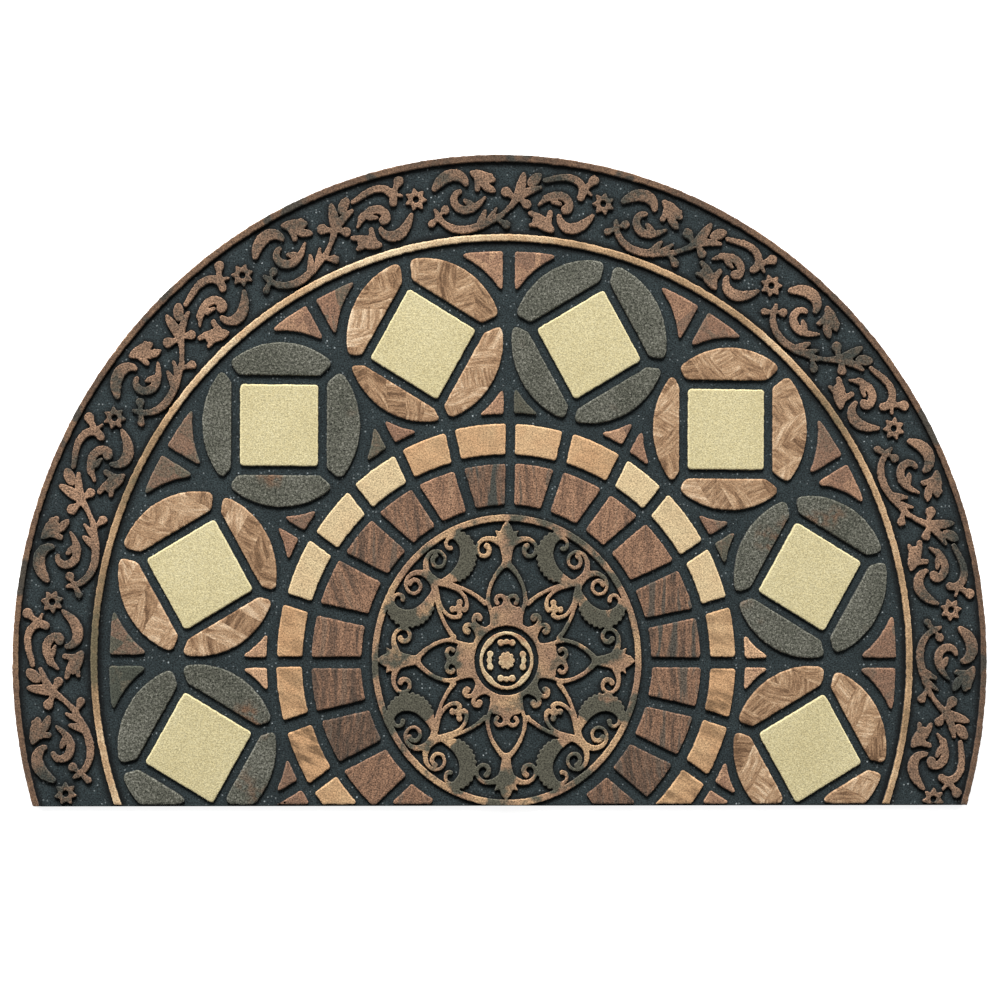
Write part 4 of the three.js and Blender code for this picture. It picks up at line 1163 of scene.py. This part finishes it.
def ball(x, y, place, reach):
    """Distances from a grid's cells to a disc: to its middle, less its reach."""
    return np.hypot(x[None, :] - place[0], y[:, None] - place[1]) - reach


def on_arm(line, degrees, mirror=False):
    """A line drawn on an arm that points up, mirrored or not, turned to the arm's own angle."""
    return turned(line[:, 0] * (-1 if mirror else 1), line[:, 1], degrees - 90)


def both_sides(rows):
    """The outline of a form that is as wide on either side of its arm."""
    right = np.array([(half, out) for out, half in rows], float)
    return np.vstack([right, right[::-1] * (-1, 1)])


def teeth_of(line, half):
    """Places of teeth at even steps along a line's left side, each as far out from the line as its
    half width there less the sink."""
    at = (np.linspace(FIRST_TOOTH, LAST_TOOTH, ACANTHUS_TEETH) * STROKE_LINKS).astype(int)
    return line[at] + left_of(line[at + 1] - line[at - 1]) * (half[at, None] - TOOTH_SINK)


# One quarter of the medallion is drawn, and mirrored to the left and down.
quadrant = np.arange(0, QUADRANT, DRAWING_STEP)
medallion_field = np.full((len(quadrant), len(quadrant)), FAR)
for arm in (0, 90, 45):
    for stroke in DIAGONAL_STROKES if arm == 45 else AXIS_STROKES:
        line, half = spine_of(stroke)
        for mirror in (False, True):
            draw_line(medallion_field, quadrant, quadrant, on_arm(line, arm, mirror), half)
    for rows in [HUB_SPUR] if arm == 45 else [FINIAL, HUB_POINT]:
        draw_solid(medallion_field, quadrant, quadrant, on_arm(both_sides(rows), arm))
acanthus, acanthus_half = spine_of(ACANTHUS)
for mirror in (False, True):
    for tooth in on_arm(teeth_of(acanthus, acanthus_half), 45, mirror):
        gap = ball(quadrant, quadrant, tooth, TOOTH_REACH)
        medallion_field = np.minimum(medallion_field, gap)
for side, out, reach in TREFOIL:
    gap = ball(quadrant, quadrant, on_arm(np.array([[side, out]]), 45)[0], reach)
    medallion_field = smooth_least(medallion_field, gap, FILLET)
upper = np.hstack([medallion_field[:, :0:-1], medallion_field])
whole = np.vstack([upper[:0:-1], upper])
span = np.concatenate([-quadrant[:0:-1], quadrant])
ring_middle = (MEDALLION_INNER + MEDALLION_OUTER) / 2
ring_half = (MEDALLION_OUTER - MEDALLION_INNER) / 2
from_ring = np.abs(ball(span, span, RING_SHIFT, ring_middle)) - ring_half
whole = smooth_least(whole, from_ring, FILLET)
whole = smooth_least(whole, ball(span, span, (0, 0), HUB_OUTER), FILLET)
whole = np.maximum(whole, -ball(span, span, (0, 0), HUB_HOLE))


def on_medallion(outline):
    """An outline about the medallion's centre, stretched up as the rings are, at its place on the
    mat and kept off the straight edge."""
    placed = outline * (1, MEDALLION_STRETCH) + (0, CENTRE_Y + MEDALLION_RISE)
    placed[:, 1] = np.maximum(placed[:, 1], MEDALLION_LOWEST)
    return placed


def leafness(outline):
    """1 on the acanthus leaves and 0 away from them, past their bare stalks: each place is folded
    into one half of one diagonal arm, and its distance to the leaf's line is compared with the
    leaf's half width."""
    x, y = np.abs(outline.T)
    side, out = -np.abs(x - y) / np.sqrt(2), (x + y) / np.sqrt(2)
    leaf, half = acanthus[LEAF_BODY], acanthus_half[LEAF_BODY]
    gap = np.hypot(side[:, None] - leaf[:, 0], out[:, None] - leaf[:, 1]) - half - TOOTH_REACH
    return np.clip(1 - gap.min(1) / 2, 0, 1)


def medallion_print(place):
    """Tan and copper by turns in soft patches, and grey-green ones, which cover the leaves."""
    warm = place.noise(30, 2.0, 0.5).clamped(0.36, 0.64)
    metal = warm.ramp([(0.0, (192, 158, 120)), (0.5, (172, 138, 108)), (1.0, (154, 122, 98))])
    fine = place.noise(300, 2.0, 0.6) - 0.5
    patch = place.noise(38, 2.0, 0.5) + 0.14 * fine + 0.22 * place.stored("leaf")
    return metal.mixed((90, 88, 75), patch.clamped(0.49, 0.59))


drawn_outlines = outlines_of(whole + MEDALLION_TRIM, span, span, LEAST_MEDALLION_FORM)
medallion_outlines = [
    ragged(on_medallion(loop), 8000 + i, MEDALLION_RAGGED) for i, loop in enumerate(drawn_outlines)
]
leaf_values = {"leaf": np.concatenate([leafness(loop) for loop in drawn_outlines])}
medallion = relief("medallion", medallion_outlines, scroll_profile, leaf_values)
coated(medallion, flocked("medallion_flock", medallion_print, 3.8))

# The boss: a cream ring inside the hub, with a hollow of four lobes, and in it four short knuckled
# bars and a small flower, all moulded with the slab.
BOSS_REACH, BOSS_STEP = 31, 0.35
BOSS_TURNS = (0, 90, 180, 270)
BOSS_RAGGED = 0.1
BOSS_OUTER, BOSS_LOBE_OUT, BOSS_LOBE = 25.2, 6.5, 15.9
# A bar: its middle's and its ends' places and radii, how it bows inwards and how its balls merge.
BAR_OUT, BAR_BALLS = 16.2, [(-5.4, 2.9), (0.0, 2.4), (5.4, 2.9)]
BAR_BOW, BAR_FILLET = 0.03, 2.2
FLOWER_REACH, FLOWER_PETALS, FLOWER_PETAL = 5.6, 9, 2.1


def boss_field(axis):
    """Distances to the boss's ring, bars and flower: a disc less four discs about the middle, three
    balls in a row for each bar, and petals round a middle for the flower."""
    field = ball(axis, axis, (0, 0), BOSS_OUTER)
    for turn in BOSS_TURNS:
        field = np.maximum(field, -ball(axis, axis, turned(BOSS_LOBE_OUT, 0, turn), BOSS_LOBE))
    for turn in BOSS_TURNS:
        for side, reach in BAR_BALLS:
            middle = turned(BAR_OUT - BAR_BOW * side ** 2, side, turn)
            field = smooth_least(field, ball(axis, axis, middle, reach), BAR_FILLET)
    field = np.minimum(field, ball(axis, axis, (0, 0), FLOWER_REACH))
    for turn in np.arange(FLOWER_PETALS) * 360 / FLOWER_PETALS:
        tip = turned(FLOWER_REACH, 0, turn)
        field = np.minimum(field, ball(axis, axis, tip, FLOWER_PETAL))
    return field


def boss_print(place):
    """Cream, turning to pale copper on one side."""
    tone = place.noise(70, 2.0).clamped(0.35, 0.65)
    return tone.ramp([(0.0, (218, 196, 156)), (0.5, (198, 170, 132)), (1.0, (172, 132, 100))])


boss_axis = np.arange(-BOSS_REACH, BOSS_REACH, BOSS_STEP)
drawn_boss = outlines_of(boss_field(boss_axis), boss_axis, boss_axis, LEAST_MEDALLION_FORM)
boss_outlines = [ragged(on_medallion(loop), 9000 + i, BOSS_RAGGED) for i, loop in enumerate(drawn_boss)]
boss = relief("boss", boss_outlines, scroll_profile)
coated(boss, flocked("boss_flock", boss_print, 2.6))

# Shade in the channels: the flock of the body's upper face lies in the lee of every wall, and reads
# darker towards it, most of all beside the two rings and round the scrolls.
SHADE_CELL = 1.0
SHADE_REACH = 10
DIAGONAL = np.sqrt(2)
# How light the flock is at distances from a wall.
RING_SHADE = [(0, 0.03), (1, 0.08), (2, 0.17), (3, 0.3), (4, 0.48), (6, 0.85), (8, 1)]
SCROLL_SHADE = [(0, 0.08), (1.5, 0.25), (3, 0.6), (5, 1)]
TILE_SHADE = [(0, 0.58), (1, 0.66), (2, 0.78), (3, 0.88), (4.5, 1)]
# How far up the mat the tiles' shade is read, because it falls mostly from the walls there.
TILE_SHADE_RISE = 1.0


def distance_to(outlines):
    """How far each cell of a grid over the mat is from the outlines' insides: a cell is inside if
    the sides crossed to its left are odd in number, and the distance then grows from cell to cell
    in whole and diagonal steps."""
    rows = int(BODY_DEPTH / SHADE_CELL) + 2
    columns = int(BODY_WIDTH / SHADE_CELL) + 2
    ends = np.vstack([np.hstack([outline, np.roll(outline, -1, 0)]) for outline in outlines])
    x0, y0, x1, y1 = ((ends - np.tile(low[:2], 2)) / SHADE_CELL).T
    first = np.ceil(np.minimum(y0, y1)).astype(int)
    many = np.ceil(np.maximum(y0, y1)).astype(int) - first
    side = np.repeat(np.arange(len(ends)), many)
    row = np.arange(len(side)) - np.repeat(np.cumsum(many) - many, many) + first[side]
    share = (row - y0[side]) / (y1 - y0)[side]
    column = np.ceil(x0[side] + share * (x1 - x0)[side]).astype(int)
    crossed = np.zeros((rows, columns), int)
    np.add.at(crossed, (row.clip(0, rows - 1), column.clip(0, columns - 1)), 1)
    distance = np.where(np.cumsum(crossed, 1) % 2 == 1, 0.0, SHADE_REACH)
    for _ in range(SHADE_REACH):
        for axes, step in ((0, 1), (1, 1), ((0, 1), DIAGONAL)):
            for turn in (1, -1):
                distance = np.minimum(distance, np.roll(distance, turn, axes) + step * SHADE_CELL)
    return distance


def shade_of(outlines, shades, rise=0.0):
    """Each body point's shade, read between the shades from the distance of the place this far up
    the mat from it, which is itself read between the four cells about it."""
    distance = distance_to(outlines)
    column, row = ((body_points[:, :2] + (0, rise) - low[:2]) / SHADE_CELL).T
    left = np.floor(column).astype(int).clip(0, distance.shape[1] - 2)
    below = np.floor(row).astype(int).clip(0, distance.shape[0] - 2)
    right, above = column - left, row - below
    lower = distance[below, left] * (1 - right) + distance[below, left + 1] * right
    upper = distance[below + 1, left] * (1 - right) + distance[below + 1, left + 1] * right
    return np.interp(lower * (1 - above) + upper * above, *zip(*shades))


body_points = np.empty(len(body.data.vertices) * 3, np.float32)
body.data.vertices.foreach_get("co", body_points)
body_points = body_points.reshape(-1, 3) / MM
ornament = scroll_outlines + star_outlines + medallion_outlines + boss_outlines
tile_outlines = square_outlines + petal_outlines + spandrel_outlines + tan_outlines + brown_outlines
shade = shade_of([rim_band, inner_band], RING_SHADE) * shade_of(ornament, SCROLL_SHADE)
shade = shade * shade_of(tile_outlines, TILE_SHADE, TILE_SHADE_RISE)
keep(body.data, "shade", shade)

# The whole mat lies flat on the floor as one moulding; the raised pieces are gathered in one list.
raised = [rim, inner_ring, squares, *petal_groups, spandrels, tan_bricks, brown_bricks]
raised += [scrolls, stars, medallion, boss]

# The studio: a lit white table, a broad window far beyond the crown, so that the channels' near
# walls lie in shade, a smaller lamp on each side, and an even white sky.
FLOOR_HALF = 4.0
FLOOR_HEIGHT = -0.0004
FLOOR_WHITE = 0.93
FLOOR_GLOW = 0.85
SKY_STRENGTH = 0.1
# Name, place, size, and the share of a white card's brightness that it gives at the mat.
LAMPS = [
    ("window", (-0.8, 6.8, 4.3), 3.0, 0.9),
    ("left_lamp", (-1.3, 0.35, 0.55), 0.5, 0.08),
    ("right_lamp", (1.3, 0.35, 0.55), 0.5, 0.06),
]
floor_mesh = bpy.data.meshes.new("floor")
corners = [(-1, -1), (1, -1), (1, 1), (-1, 1)]
corners = [(x * FLOOR_HALF, y * FLOOR_HALF, FLOOR_HEIGHT) for x, y in corners]
floor_mesh.from_pydata(corners, [], [(0, 1, 2, 3)])
floor = shown("floor", floor_mesh)
paper = bpy.data.materials.new("white_floor")
paper.use_nodes = True
paper_shader = paper.node_tree.nodes["Principled BSDF"]
paper_shader.inputs["Base Color"].default_value = (FLOOR_WHITE, FLOOR_WHITE, FLOOR_WHITE, 1)
paper_shader.inputs["Roughness"].default_value = 0.9
paper_shader.inputs["Emission Color"].default_value = (1, 1, 1, 1)
paper_shader.inputs["Emission Strength"].default_value = FLOOR_GLOW
floor_mesh.materials.append(paper)

for name, place, size, share in LAMPS:
    lamp_data = bpy.data.lights.new(name, "AREA")
    lamp_data.size = size
    reach = np.linalg.norm(place)
    lamp_data.energy = share * np.pi ** 2 * reach ** 3 / place[2]
    lamp = shown(name, lamp_data)
    lamp.location = place
    lamp.rotation_euler = Vector(place).to_track_quat("Z", "Y").to_euler()
world = bpy.data.worlds.new("white_sky")
world.use_nodes = True
sky = world.node_tree.nodes["Background"]
sky.inputs["Color"].default_value = (1, 1, 1, 1)
sky.inputs["Strength"].default_value = SKY_STRENGTH
bpy.context.scene.world = world
bpy.context.scene.view_settings.view_transform = "Standard"

# The camera looks straight down on the design's centre from a little to the left, with a long
# lens. The shift puts that centre where it is in the photograph's frame of 1000 by 1000.
FRAME_PIXELS = 1000
CENTRE_PIXEL = (506.6, 661.4)
# The lens's length in pixels, a pixel's size on the mat, the share by which that scale falls with
# each pixel to the right, and the camera's turn about its own line of sight in degrees.
FOCUS_PIXELS = 1944
PIXEL_MM = 0.9362
NARROWING = 2.93e-5
ROLL = 0.15
lean = np.arcsin(NARROWING * FOCUS_PIXELS)
distance = FOCUS_PIXELS * PIXEL_MM * MM
camera_data = bpy.data.cameras.new("camera")
camera_data.sensor_width = 36
camera_data.lens = camera_data.sensor_width * FOCUS_PIXELS / FRAME_PIXELS
camera_data.shift_x = 0.5 - CENTRE_PIXEL[0] / FRAME_PIXELS
camera_data.shift_y = CENTRE_PIXEL[1] / FRAME_PIXELS - 0.5
camera = shown("camera", camera_data)
aim = Vector((0, CENTRE_Y * MM, TOP * MM))
camera.location = aim + distance * Vector((-np.sin(lean), 0, np.cos(lean)))
camera.rotation_euler = (0, -lean, 0)
camera.rotation_euler.rotate_axis("Z", np.radians(ROLL))
bpy.context.scene.camera = camera
